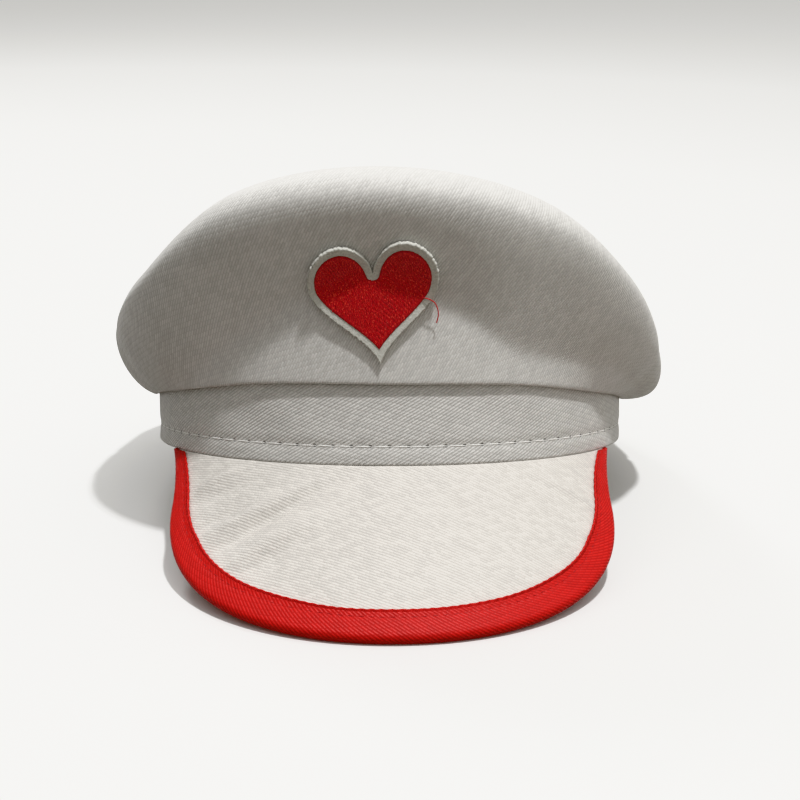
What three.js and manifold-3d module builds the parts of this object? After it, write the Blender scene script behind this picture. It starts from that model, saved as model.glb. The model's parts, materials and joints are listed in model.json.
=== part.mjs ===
// A soft white peaked cap of the kind worn with a nurse's uniform: a hollow cloth crown that stands high
// over the forehead and droops at the sides, a stiffened band, and a bound peak. It lies on a table as it
// would by itself, on the front of its peak and the back of its band. Millimetres, +Z up, front towards -Y.
import * as THREE from "three";
import { mergeVertices } from "three/addons/utils/BufferGeometryUtils.js";
import Module from "manifold-3d";

// Head opening and band.
const HEAD_WIDTH = 170; // clear width of the opening; its front half is a half circle
const HEAD_LENGTH = 184; // clear length from forehead to nape
const BAND_HEIGHT = 27.5;
const BAND_WALL = 3;
const BAND_HEM = 1.6; // radius of the folded lower edge
const FIT_GAP = 0.3; // clearance between pieces that are sewn face to face

// Crown.
const CROWN_CLOTH = 1.8; // thickness of the backed cloth
const CROWN_RISE = 70; // ridge above the band's top, at the front
const CROWN_REACH = 16; // overhang past the band, at the side
const CROWN_SAG = 12.5; // how far the cloth hangs down over the band, at the side
const RIDGE_ROLL = 12; // radius of the soft roll between the side and the top
const CROWN_HOLLOW = 9; // how far the front is drawn in below the roll
const CROWN_TUCK = 0.55; // how much tighter the cloth turns in under the roll where it is hollow
const TOP_SINK = 3; // how far the middle of the top lies below a cloth stretched over the ridge
const SIDE_SEAM_ANGLE = 99; // degrees from the front
const TOP_SEAM_INSET = 9; // from the ridge to the seam of the top panel, at the front

// Peak: a flat board bent into a cone, with bound edges.
const PEAK_LENGTH = 64.3; // from the band to the outer edge, at the front
const PEAK_HALF_WIDTH = 82;
const PEAK_TURN = 0.8; // degrees that it is sewn on round to the wearer's left
const PEAK_TIP_FLARE = 7; // how much wider the board is at its tips
const PEAK_TIP_BACK = 32; // how far the tips lie behind the front of the band, on the flat board
const PEAK_SQUARENESS = 2.08; // exponent of the outline: 2 is an ellipse
const PEAK_SLOPE = 50; // degrees below the plane of the band
const PEAK_WALL = 2.4;
const BINDING_WIDTH = 10.5;
const BINDING_CLOTH = 0.9;

// Badge: an embroidered heart on a stiff backing.
const BADGE_WIDTH = 43;
const BADGE_HEIGHT = 40.5;
const BADGE_RISE = 26.5; // centre above the band's top
const BADGE_OFFSET = -4.5; // centre to the side of the cap's middle
const BADGE_TILT = 4.8; // degrees
const BADGE_BORDER = 2.6;
const BADGE_BACKING = 1.2;
const BADGE_THREAD = 0.9;
const BADGE_LIFT = 1.2; // how far the stiff backing stands off at its sides

// Sections of the crown, round from the back by the front: negative angles are the wearer's right.
// sag is a share of CROWN_SAG, reach of CROWN_REACH and rise of CROWN_RISE; full is how far the side bulges.
// hollow is a share of CROWN_HOLLOW.
const CROWN_SECTIONS = [
  { angle: -180, sag: 0.15, reach: 0.66, rise: 0.34, full: 1.0, hollow: 0 },
  { angle: -150, sag: 0.3, reach: 0.78, rise: 0.27, full: 1.0, hollow: 0 },
  { angle: -120, sag: 0.74, reach: 0.92, rise: 0.19, full: 1.0, hollow: 0 },
  { angle: -90, sag: 0.93, reach: 1.0, rise: 0.235, full: 0.95, hollow: 0 },
  { angle: -60, sag: 0.54, reach: 1.0, rise: 0.535, full: 1.0, hollow: 0.55 },
  { angle: -30, sag: 0.08, reach: 0.94, rise: 0.9, full: 1.0, hollow: 0.95 },
  { angle: 0, sag: 0.02, reach: 0.87, rise: 1.0, full: 1.0, hollow: 1 },
  { angle: 30, sag: 0.12, reach: 0.94, rise: 0.86, full: 1.05, hollow: 0.95 },
  { angle: 60, sag: 0.61, reach: 0.98, rise: 0.475, full: 1.2, hollow: 0.55 },
  { angle: 90, sag: 1.08, reach: 0.97, rise: 0.035, full: 1.2, hollow: 0 },
  { angle: 120, sag: 0.84, reach: 0.92, rise: 0.1, full: 1.25, hollow: 0 },
  { angle: 150, sag: 0.34, reach: 0.78, rise: 0.24, full: 1.05, hollow: 0 },
];
const SECTION_STEP = THREE.MathUtils.degToRad(360 / CROWN_SECTIONS.length);

// Fineness of the meshes.
const ROUND_COLUMNS = 60;
const TOP_WAVES = 5;
const WALL_ROWS = 10;
const ROLL_ROWS = 4;
const TOP_RINGS = 6;
const PEAK_COLUMNS = 44;
const PEAK_ROWS = 6;
const HEART_COLUMNS = 36;
const HEART_RINGS = 4;

const HALF_WIDTH = HEAD_WIDTH / 2 + BAND_WALL;
const BACK_REACH = HEAD_LENGTH - HEAD_WIDTH / 2 + BAND_WALL;
const CENTRE_Y = (HEAD_LENGTH - HEAD_WIDTH) / 2;
const TOP_SEAM = 2 + TOP_SEAM_INSET / HALF_WIDTH; // way along the crown's surface, counted as crownPoint does
const SEAM_WAY = FIT_GAP / HALF_WIDTH; // the clearance at a seam, as a share of the way to the middle
const TURN = 2 * Math.PI;
const rad = THREE.MathUtils.degToRad;
const vec = (x, y, z) => new THREE.Vector3(x, y, z);

const wasm = await Module();
wasm.setup();

const WHITE_SATIN = { color: 0xdedcd8, roughness: 0.55, metalness: 0 };
const RED_SATIN = { color: 0xc9161c, roughness: 0.5, metalness: 0 };
const WHITE_FELT = { color: 0xe2e0da, roughness: 0.9, metalness: 0 };
const RED_THREAD = { color: 0xb20c14, roughness: 0.42, metalness: 0 };

// The band's outer face in plan, at an angle from the front: a half circle before a half ellipse.
function bandPlan(angle) {
  const depth = Math.cos(angle) > 0 ? HALF_WIDTH : BACK_REACH;
  const out = new THREE.Vector2(Math.sin(angle) / HALF_WIDTH, -Math.cos(angle) / depth).normalize();
  return { at: new THREE.Vector2(HALF_WIDTH * Math.sin(angle), -depth * Math.cos(angle)), out };
}

// A point beside the band's outer face: reach outwards from it, at height z above the rim.
function besideBand(angle, reach, z) {
  const { at, out } = bandPlan(angle);
  return vec(at.x + out.x * reach, at.y + out.y * reach, z);
}

// Curve through a periodic row of values, read between the rows before and after it.
function betweenSections(angle, column) {
  const count = CROWN_SECTIONS.length;
  const along = (((angle - rad(CROWN_SECTIONS[0].angle)) / SECTION_STEP) % count + count) % count;
  const row = Math.floor(along);
  const share = along - row;
  const value = (step) => CROWN_SECTIONS[(row + step + count) % count][column];
  return cubic(value(0), (value(1) - value(-1)) / 2, value(1), (value(2) - value(0)) / 2, share);
}

// Cubic from start to end that leaves with the first slope and arrives with the second.
function cubic(start, leave, end, arrive, t) {
  const t2 = t * t;
  const t3 = t2 * t;
  const blend = 3 * t2 - 2 * t3;
  return start * (1 - blend) + end * blend + leave * (t3 - 2 * t2 + t) + arrive * (t3 - t2);
}

// What one section of the crown needs: where its cloth leaves the band, its widest point and its ridge.
function crownSection(angle) {
  const sag = CROWN_SAG * betweenSections(angle, "sag");
  const reach = CROWN_REACH * betweenSections(angle, "reach");
  const rise = CROWN_RISE * betweenSections(angle, "rise");
  const leave = (Math.PI / 2) * Math.min(1 - sag / CROWN_SAG, 1);
  return {
    foot: [FIT_GAP + CROWN_CLOTH * Math.max(Math.sin(leave), 0), BAND_HEIGHT - sag],
    wide: [reach, BAND_HEIGHT + rise - RIDGE_ROLL],
    full: betweenSections(angle, "full"),
    hollow: betweenSections(angle, "hollow"),
    leave,
    ridge: besideBand(angle, reach - RIDGE_ROLL, BAND_HEIGHT + rise),
  };
}

// The ridge's height round the crown as a sum of waves.
function ridgeWaves() {
  return Array.from({ length: TOP_WAVES + 1 }, (_, order) => {
    const wave = { order, cos: 0, sin: 0 };
    for (let c = 0; c < ROUND_COLUMNS; c++) {
      const angle = (TURN * c) / ROUND_COLUMNS;
      const part = ((order === 0 ? 1 : 2) * crownSection(angle).ridge.z) / ROUND_COLUMNS;
      wave.cos += part * Math.cos(order * angle);
      wave.sin += part * Math.sin(order * angle);
    }
    return wave;
  });
}

const RIDGE_WAVES = ridgeWaves();

// Height of the top at a share u of the way from its middle to the ridge: a film stretched over the ridge,
// which sinks a little, and what the waves leave over, which fades inwards quickly.
function topHeight(angle, u, ridgeHeight) {
  const film = (share) => {
    let height = 0;
    for (const { order, cos, sin } of RIDGE_WAVES) {
      height += share ** order * (cos * Math.cos(order * angle) + sin * Math.sin(order * angle));
    }
    return height;
  };
  return film(u) - TOP_SINK * (1 - u * u) + (ridgeHeight - film(1)) * u ** (TOP_WAVES + 2);
}

// A point of the crown's outer surface. way runs 0 to 1 from the band to the widest point, 1 to 2 over the
// ridge, and 2 to 3 from the ridge to the middle of the top.
function crownPoint(angle, way) {
  const s = crownSection(angle);
  if (way <= 1) {
    const span = Math.hypot(s.wide[0] - s.foot[0], s.wide[1] - s.foot[1]);
    const pull = span * s.full;
    const dent = CROWN_HOLLOW * s.hollow * (4 * way * (1 - way)) ** 2;
    const tuck = 1 - CROWN_TUCK * s.hollow;
    const reach = cubic(s.foot[0], pull * Math.cos(s.leave), s.wide[0], 0, way) - dent;
    const rise = cubic(s.foot[1], pull * Math.sin(s.leave), s.wide[1], pull * tuck, way);
    return besideBand(angle, reach, rise);
  }
  if (way <= 2) {
    const pull = RIDGE_ROLL * (Math.SQRT2 - 1) * 4;
    const run = Math.hypot(s.ridge.x, s.ridge.y - CENTRE_Y);
    const step = 1e-3;
    const climb = (s.ridge.z - topHeight(angle, 1 - step, s.ridge.z)) / (step * run);
    const reach = cubic(s.wide[0], 0, s.wide[0] - RIDGE_ROLL, -pull, way - 1);
    const rise = cubic(s.wide[1], pull, s.ridge.z, -pull * climb, way - 1);
    return besideBand(angle, reach, rise);
  }
  const u = 3 - way;
  return vec(s.ridge.x * u, CENTRE_Y + (s.ridge.y - CENTRE_Y) * u, topHeight(angle, u, s.ridge.z));
}

// The crown's outward normal, from two small steps on its surface.
function crownNormal(angle, way) {
  const step = 1e-3;
  const w = Math.min(way, 3 - 2 * step);
  const round = crownPoint(angle + step, w).sub(crownPoint(angle - step, w));
  const up = crownPoint(angle, w + step).sub(crownPoint(angle, Math.max(w - step, 0)));
  return round.cross(up).normalize();
}

// Makes a sheet of triangles solid: its outer points, the inner ones, and a wall along every open edge.
function solidSheet(outer, inner, triangles) {
  const count = outer.length;
  const index = [];
  const openEdges = new Map();
  for (const [a, b, c] of triangles) {
    index.push(a, b, c, c + count, b + count, a + count);
    for (const [p, q] of [[a, b], [b, c], [c, a]]) {
      if (!openEdges.delete(`${q} ${p}`)) openEdges.set(`${p} ${q}`, [p, q]);
    }
  }
  for (const [p, q] of openEdges.values()) index.push(q, p, p + count, q, p + count, q + count);
  const geometry = new THREE.BufferGeometry().setFromPoints([...outer, ...inner]);
  return geometry.setIndex(index);
}

// Triangles of a grid of columns by rows, whose points are numbered along each column.
function gridTriangles(columns, rows, closed = false) {
  const triangles = [];
  const last = closed ? columns : columns - 1;
  for (let c = 0; c < last; c++) {
    for (let r = 0; r < rows - 1; r++) {
      const here = c * rows + r;
      const next = ((c + 1) % columns) * rows + r;
      triangles.push([here, next, next + 1], [here, next + 1, here + 1]);
    }
  }
  return triangles;
}

// This many numbers, evenly from one to the other.
function spread(from, to, count) {
  return Array.from({ length: count }, (_, i) => from + ((to - from) * i) / (count - 1));
}

// One panel of the crown's side, between two angles: from the band, over the ridge, to the top seam.
function crownPanel(from, to) {
  const columns = Math.round((ROUND_COLUMNS * (to - from)) / TURN) + 1;
  const inset = SEAM_WAY / 2;
  const wall = spread(0, 1, WALL_ROWS + 1);
  const roll = spread(1, 2, ROLL_ROWS + 1).slice(1);
  const ways = [...wall, ...roll, TOP_SEAM - SEAM_WAY / 2];
  const outer = [];
  const inner = [];
  for (const angle of spread(from + inset, to - inset, columns)) {
    for (const way of ways) {
      const point = crownPoint(angle, way);
      outer.push(point);
      inner.push(point.clone().addScaledVector(crownNormal(angle, way), -CROWN_CLOTH));
    }
  }
  return solidSheet(outer, inner, gridTriangles(columns, ways.length));
}

// The top panel: rings from its seam to the middle, where the triangles meet in one point.
function crownTop() {
  const ways = spread(TOP_SEAM + SEAM_WAY / 2, 3, TOP_RINGS + 1).slice(0, -1);
  const outer = [];
  const inner = [];
  const add = (angle, way) => {
    const point = crownPoint(angle, way);
    outer.push(point);
    inner.push(point.clone().addScaledVector(crownNormal(angle, way), -CROWN_CLOTH));
  };
  for (let c = 0; c < ROUND_COLUMNS; c++) {
    for (const way of ways) add((TURN * c) / ROUND_COLUMNS, way);
  }
  const triangles = gridTriangles(ROUND_COLUMNS, ways.length, true);
  const middle = outer.length;
  add(0, 3);
  for (let c = 0; c < ROUND_COLUMNS; c++) {
    const innermost = (column) => (column % ROUND_COLUMNS) * ways.length + ways.length - 1;
    triangles.push([innermost(c), innermost(c + 1), middle]);
  }
  return solidSheet(outer, inner, triangles);
}

// The band: a closed ring with a folded, rounded lower edge.
function band() {
  const hem = spread(0, Math.PI / 2, 4).map((a) => [
    -BAND_HEM * (1 - Math.sin(a)),
    BAND_HEM * (1 - Math.cos(a)),
  ]);
  const profile = [[-BAND_WALL, 0], ...hem, [0, BAND_HEIGHT], [-BAND_WALL, BAND_HEIGHT]];
  const points = [];
  for (let c = 0; c < ROUND_COLUMNS; c++) {
    for (const [reach, z] of profile) points.push(besideBand((TURN * c) / ROUND_COLUMNS, reach, z));
  }
  const rows = profile.length;
  const index = [];
  for (let c = 0; c < ROUND_COLUMNS; c++) {
    for (let r = 0; r < rows; r++) {
      const here = c * rows + r;
      const next = ((c + 1) % ROUND_COLUMNS) * rows + r;
      const up = (r + 1) % rows;
      const hereUp = c * rows + up;
      const nextUp = ((c + 1) % ROUND_COLUMNS) * rows + up;
      index.push(here, next, nextUp, here, nextUp, hereUp);
    }
  }
  return new THREE.BufferGeometry().setFromPoints(points).setIndex(index);
}

// The board is drawn flat, x to the side and y forward from the front of the band, and bent into a cone.
const SLOPE = rad(PEAK_SLOPE);
const BOARD_RADIUS = HALF_WIDTH / Math.cos(SLOPE);
const BINDING_FOLD = PEAK_WALL / 2 + FIT_GAP + BINDING_CLOTH; // half the thickness of the bound edge

// A point of the bent board, lift above its upper face.
function onPeak(x, y, lift) {
  const run = Math.hypot(x, y + BOARD_RADIUS) - BOARD_RADIUS;
  const angle = Math.atan2(x, y + BOARD_RADIUS) / Math.cos(SLOPE) + rad(PEAK_TURN);
  const radius = HALF_WIDTH + run * Math.cos(SLOPE) + lift * Math.sin(SLOPE);
  const z = lift * Math.cos(SLOPE) - run * Math.sin(SLOPE);
  return vec(radius * Math.sin(angle), -radius * Math.cos(angle), z);
}

// Whether a point of the flat board lies within its outline, which is inset inside the bound edge.
function onBoard(x, y) {
  const halfWidth = PEAK_HALF_WIDTH - BINDING_FOLD;
  if (y < 0) return Math.abs(x) < halfWidth + PEAK_TIP_FLARE * Math.min(-y / PEAK_TIP_BACK, 1) ** 2;
  const length = PEAK_LENGTH - BINDING_FOLD;
  return Math.abs(x / halfWidth) ** PEAK_SQUARENESS + (y / length) ** PEAK_SQUARENESS < 1;
}

// How far the board runs out from the band along a line at this angle of the flat board.
function boardRun(theta) {
  let inside = -PEAK_TIP_BACK;
  let outside = 2 * PEAK_LENGTH;
  while (outside - inside > 1e-6) {
    const run = (inside + outside) / 2;
    const reach = BOARD_RADIUS + run;
    if (onBoard(reach * Math.sin(theta), reach * Math.cos(theta) - BOARD_RADIUS)) inside = run;
    else outside = run;
  }
  return inside;
}

// The angle of the flat board at which its outline is this far out from the band.
function boardAngle(run) {
  let wide = 0;
  let beyond = Math.PI / 2;
  while (beyond - wide > 1e-6) {
    const theta = (wide + beyond) / 2;
    if (boardRun(theta) > run) wide = theta;
    else beyond = theta;
  }
  return wide;
}

function boardEdge(theta) {
  const reach = BOARD_RADIUS + boardRun(theta);
  return new THREE.Vector2(reach * Math.sin(theta), reach * Math.cos(theta) - BOARD_RADIUS);
}

function solidOf(geometry) {
  const bare = geometry.clone();
  bare.deleteAttribute("normal");
  bare.deleteAttribute("uv");
  const merged = mergeVertices(bare, 1e-4);
  return new wasm.Manifold(
    new wasm.Mesh({
      numProp: 3,
      vertProperties: new Float32Array(merged.attributes.position.array),
      triVerts: new Uint32Array(merged.index.array),
    }),
  );
}

function geometryOf(solid) {
  const mesh = solid.getMesh();
  return new THREE.BufferGeometry()
    .setAttribute("position", new THREE.BufferAttribute(new Float32Array(mesh.vertProperties), 3))
    .setIndex(new THREE.BufferAttribute(new Uint32Array(mesh.triVerts), 1));
}

// Cuts a piece of the peak off level, just below the band that it is sewn under.
function cutBelowBand(geometry) {
  const size = 4 * HEAD_LENGTH;
  const above = new THREE.BoxGeometry(size, size, size).translate(0, 0, size / 2 - FIT_GAP);
  return geometryOf(solidOf(geometry).subtract(solidOf(above)));
}

function peak() {
  const start = -2 * PEAK_WALL; // the board begins above the cut
  const widest = boardAngle(start + PEAK_WALL / 2);
  const outer = [];
  const inner = [];
  for (const theta of spread(-widest, widest, PEAK_COLUMNS + 1)) {
    for (const run of spread(boardRun(theta), start, PEAK_ROWS + 1)) {
      const reach = BOARD_RADIUS + run;
      const x = reach * Math.sin(theta);
      const y = reach * Math.cos(theta) - BOARD_RADIUS;
      outer.push(onPeak(x, y, 0));
      inner.push(onPeak(x, y, -PEAK_WALL));
    }
  }
  return cutBelowBand(solidSheet(outer, inner, gridTriangles(PEAK_COLUMNS + 1, PEAK_ROWS + 1)));
}

// The binding's section: across is inwards from the board's edge, lift above its upper face.
function bindingSection() {
  const middle = -PEAK_WALL / 2;
  const arc = (radius, from, to) =>
    spread(from, to, 5).map((a) => [-radius * Math.cos(a), middle + radius * Math.sin(a)]);
  const inner = BINDING_FOLD - BINDING_CLOTH;
  return [
    [BINDING_WIDTH - BINDING_FOLD, middle + BINDING_FOLD],
    ...arc(BINDING_FOLD, Math.PI / 2, -Math.PI / 2),
    [BINDING_WIDTH - BINDING_FOLD, middle - BINDING_FOLD],
    [BINDING_WIDTH - BINDING_FOLD, middle - inner],
    ...arc(inner, -Math.PI / 2, Math.PI / 2),
    [BINDING_WIDTH - BINDING_FOLD, middle + inner],
  ];
}

function peakBinding() {
  const section = bindingSection();
  const rows = section.length;
  const widest = boardAngle(-2 * BINDING_FOLD);
  const thetas = spread(-widest, widest, PEAK_COLUMNS + 1);
  const points = [];
  for (const theta of thetas) {
    const at = boardEdge(theta);
    const along = boardEdge(theta + 1e-3).sub(boardEdge(theta - 1e-3)).normalize();
    for (const [across, lift] of section) {
      points.push(onPeak(at.x + along.y * across, at.y - along.x * across, lift));
    }
  }
  const index = [];
  for (let c = 0; c < PEAK_COLUMNS; c++) {
    for (let r = 0; r < rows; r++) {
      const up = (r + 1) % rows;
      const here = c * rows;
      const next = here + rows;
      index.push(here + r, next + up, next + r, here + r, here + up, next + up);
    }
  }
  const outline = section.map(([across, lift]) => new THREE.Vector2(across, lift));
  for (const [a, b, c] of THREE.ShapeUtils.triangulateShape(outline, [])) {
    const last = PEAK_COLUMNS * rows;
    index.push(c, b, a, last + a, last + b, last + c);
  }
  return cutBelowBand(new THREE.BufferGeometry().setFromPoints(points).setIndex(index));
}

// The heart's outline, from -1 to 1 both ways, at one turn's angle from its notch.
function heartOutline(turn) {
  const lobes = 13 * Math.cos(turn) - 5 * Math.cos(2 * turn) - 2 * Math.cos(3 * turn) - Math.cos(4 * turn);
  return new THREE.Vector2(Math.sin(turn) ** 3, (lobes + 2.55) / 14.5);
}

// The place on the crown's front at this distance to the side and above the band.
function crownFrontPlace(x, rise) {
  let angle = Math.asin(x / HALF_WIDTH);
  let way = 0;
  for (let turn = 0; turn < 6; turn++) {
    let low = 0;
    let high = 1;
    while (high - low > 1e-7) {
      way = (low + high) / 2;
      if (crownPoint(angle, way).z - BAND_HEIGHT < rise) low = way;
      else high = way;
    }
    const at = crownPoint(angle, way);
    angle = Math.asin(x / Math.hypot(at.x, at.y));
  }
  return { at: crownPoint(angle, way), out: crownNormal(angle, way) };
}

// One layer of the badge, on the crown's front: a heart of this size, whose lower face is this far off it.
function heartLayer(width, height, lift, thickness) {
  const outer = [];
  const inner = [];
  const add = (x, y) => {
    const side = Math.cos(rad(BADGE_TILT)) * x - Math.sin(rad(BADGE_TILT)) * y;
    const up = Math.sin(rad(BADGE_TILT)) * x + Math.cos(rad(BADGE_TILT)) * y;
    const { at, out } = crownFrontPlace(BADGE_OFFSET + side, BADGE_RISE + up);
    const standOff = lift + BADGE_LIFT * ((2 * side) / BADGE_WIDTH) ** 2;
    outer.push(at.clone().addScaledVector(out, standOff + thickness));
    inner.push(at.clone().addScaledVector(out, standOff));
  };
  for (let c = 0; c < HEART_COLUMNS; c++) {
    const edge = heartOutline((-TURN * c) / HEART_COLUMNS);
    for (const share of spread(1, 0, HEART_RINGS + 1).slice(0, -1)) {
      add((edge.x * share * width) / 2, (edge.y * share * height) / 2);
    }
  }
  const triangles = gridTriangles(HEART_COLUMNS, HEART_RINGS, true);
  const middle = outer.length;
  add(0, 0);
  for (let c = 0; c < HEART_COLUMNS; c++) {
    const innermost = (column) => (column % HEART_COLUMNS) * HEART_RINGS + HEART_RINGS - 1;
    triangles.push([innermost(c), innermost(c + 1), middle]);
  }
  return solidSheet(outer, inner, triangles);
}

function piece(name, geometry, finish) {
  const mesh = new THREE.Mesh(geometry, new THREE.MeshStandardMaterial(finish));
  mesh.name = name;
  return mesh;
}

function lowest(group, names) {
  let z = Infinity;
  group.updateMatrixWorld(true);
  for (const name of names) {
    z = Math.min(z, new THREE.Box3().setFromObject(group.getObjectByName(name), true).min.z);
  }
  return z;
}

const cap = new THREE.Group();
const seam = rad(SIDE_SEAM_ANGLE);
cap.add(
  piece("band", band(), WHITE_SATIN),
  piece("crown_front", crownPanel(-seam, seam), WHITE_SATIN),
  piece("crown_back", crownPanel(seam, TURN - seam), WHITE_SATIN),
  piece("crown_top", crownTop(), WHITE_SATIN),
  piece("peak", peak(), WHITE_SATIN),
  piece("peak_binding", peakBinding(), RED_SATIN),
  piece("badge_backing", heartLayer(BADGE_WIDTH, BADGE_HEIGHT, FIT_GAP, BADGE_BACKING), WHITE_FELT),
  piece(
    "badge_embroidery",
    heartLayer(
      BADGE_WIDTH - 2 * BADGE_BORDER,
      BADGE_HEIGHT - 2 * BADGE_BORDER,
      2 * FIT_GAP + BADGE_BACKING,
      BADGE_THREAD,
    ),
    RED_THREAD,
  ),
);

// Leans the cap back until the front of the peak and the back of the band are level, as it rests on a table.
let upright = 0;
let leaning = Math.PI / 6;
while (leaning - upright > 1e-7) {
  cap.rotation.x = -(upright + leaning) / 2;
  if (lowest(cap, ["peak_binding"]) < lowest(cap, ["band"])) upright = -cap.rotation.x;
  else leaning = -cap.rotation.x;
}

// The origin lies on the table, below the middle of the cap's box.
const rested = new THREE.Group();
rested.add(cap);
rested.updateMatrixWorld(true);
const box = new THREE.Box3().setFromObject(rested, true);
cap.position.set(-(box.min.x + box.max.x) / 2, -(box.min.y + box.max.y) / 2, -box.min.z);

export default rested;
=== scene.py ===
"""The finish of a soft white peaked nurse cap: satin twill crown and band, bound peak and embroidered badge.

The pieces are worked out in the cap's own frame, in millimetres. The origin is the middle of the head
opening's rim, the front is towards -Y and +Z is up through the crown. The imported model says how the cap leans
on the table.
"""

from __future__ import annotations

import json
import logging
import math
from dataclasses import dataclass
from enum import Enum
from typing import Any, Sequence

import bpy
import numpy as np
from mathutils import Matrix, Vector

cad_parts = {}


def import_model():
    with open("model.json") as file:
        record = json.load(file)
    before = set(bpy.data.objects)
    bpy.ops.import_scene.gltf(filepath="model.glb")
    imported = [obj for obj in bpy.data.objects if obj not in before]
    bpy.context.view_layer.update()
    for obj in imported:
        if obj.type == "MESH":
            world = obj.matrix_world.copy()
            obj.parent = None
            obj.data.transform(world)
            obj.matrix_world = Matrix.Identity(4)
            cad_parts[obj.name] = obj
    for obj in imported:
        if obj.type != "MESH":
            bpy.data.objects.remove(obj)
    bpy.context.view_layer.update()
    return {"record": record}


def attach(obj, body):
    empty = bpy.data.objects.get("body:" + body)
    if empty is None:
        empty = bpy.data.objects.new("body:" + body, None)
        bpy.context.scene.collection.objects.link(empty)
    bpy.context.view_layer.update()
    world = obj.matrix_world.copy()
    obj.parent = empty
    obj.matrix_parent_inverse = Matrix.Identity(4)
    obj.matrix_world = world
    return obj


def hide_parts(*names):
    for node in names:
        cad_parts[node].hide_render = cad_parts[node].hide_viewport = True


Array = np.ndarray
MM = 0.001
TURN = 2 * math.pi
LOG = logging.getLogger("nurse_cap")
CLOTH_UV = "cloth"


class Side(Enum):
    """The face of a folded or flat piece that a detail lies on."""

    UPPER = 1
    LOWER = -1


def cubic(start: Array, leave: Array, end: Array, arrive: Array, t: Array) -> Array:
    """Cubic from start to end that leaves with one slope and arrives with another.

    Args:
        start: values at t = 0.
        leave: slopes at t = 0.
        end: values at t = 1.
        arrive: slopes at t = 1.
        t: the share of the way.

    Returns:
        The values at t.
    """
    blend = t * t * (3 - 2 * t)
    return start * (1 - blend) + end * blend + leave * t * (1 - t) ** 2 - arrive * t * t * (1 - t)


def unit(vectors: Array) -> Array:
    """Scales vectors to a length of one."""
    return vectors / np.maximum(np.linalg.norm(vectors, axis=-1, keepdims=True), 1e-12)


def run_length(points: Array) -> Array:
    """Length along a line of points, from its first one."""
    return np.concatenate([[0], np.cumsum(np.linalg.norm(np.diff(points, axis=0), axis=1))])


def stand(name: str, data: bpy.types.ID) -> bpy.types.Object:
    """Puts an object into the scene, at the origin.

    Args:
        name: its name.
        data: its mesh, light or camera.

    Returns:
        The object.
    """
    piece = bpy.data.objects.new(name, data)
    bpy.context.scene.collection.objects.link(piece)
    return piece


def graded(start: float, end: float, step: float, rim: Sequence[float] = (0.0, 0.2, 0.5, 0.9)) -> Array:
    """Even steps between two values, with closer ones beside each end for a rounded rim.

    Args:
        start: the first value.
        end: the last value.
        step: the step in the middle.
        rim: distances of the close steps from an end.

    Returns:
        The values in order.
    """
    close = np.asarray(rim)
    count = max(2, int(round((end - start - 2 * close[-1]) / step)) + 1)
    middle = np.linspace(start + close[-1], end - close[-1], count)[1:-1]
    return np.concatenate([start + close, middle, end - close[::-1]])


def waves(phase: Array, seed: float) -> Array:
    """A smooth, slightly irregular ripple.

    Args:
        phase: the phase, in radians.
        seed: shifts its parts against each other.

    Returns:
        Values from -1 to 1.
    """
    second = 0.6 * np.sin(1.73 * phase + 2.1 * seed)
    third = 0.4 * np.sin(2.61 * phase - seed)
    return (np.sin(phase + seed) + second + third) / 2


@dataclass(frozen=True)
class Placement:
    """How the cap lies in the row's frame."""

    matrix: Matrix

    @classmethod
    def from_rim(cls, record: dict[str, Any], rim_reach: float) -> Placement:
        """Reads the lean and the place of the cap from the mount on its rim.

        Args:
            record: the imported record.
            rim_reach: how far behind the middle of the opening the mount lies, in millimetres.

        Returns:
            The placement, from millimetres in the cap's frame to metres in the row's.
        """
        mount = next(m for m in record["mounts"] if m["name"] == "head_rim")
        lean = Matrix.Rotation(math.atan2(mount["axis"][1], -mount["axis"][2]), 4, "X")
        shift = Vector(mount["pos_m"]) - lean @ Vector((0, rim_reach * MM, 0))
        return cls(Matrix.Translation(shift) @ lean @ Matrix.Scale(MM, 4))

    def place(self, points: Array) -> Array:
        """Moves points from the cap's frame to the row's."""
        matrix = np.array(self.matrix)
        return points @ matrix[:3, :3].T + matrix[:3, 3]

    def turn(self, directions: Array) -> Array:
        """Turns directions from the cap's frame to the row's, at unit length."""
        return unit(directions @ np.array(self.matrix)[:3, :3].T)


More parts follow.
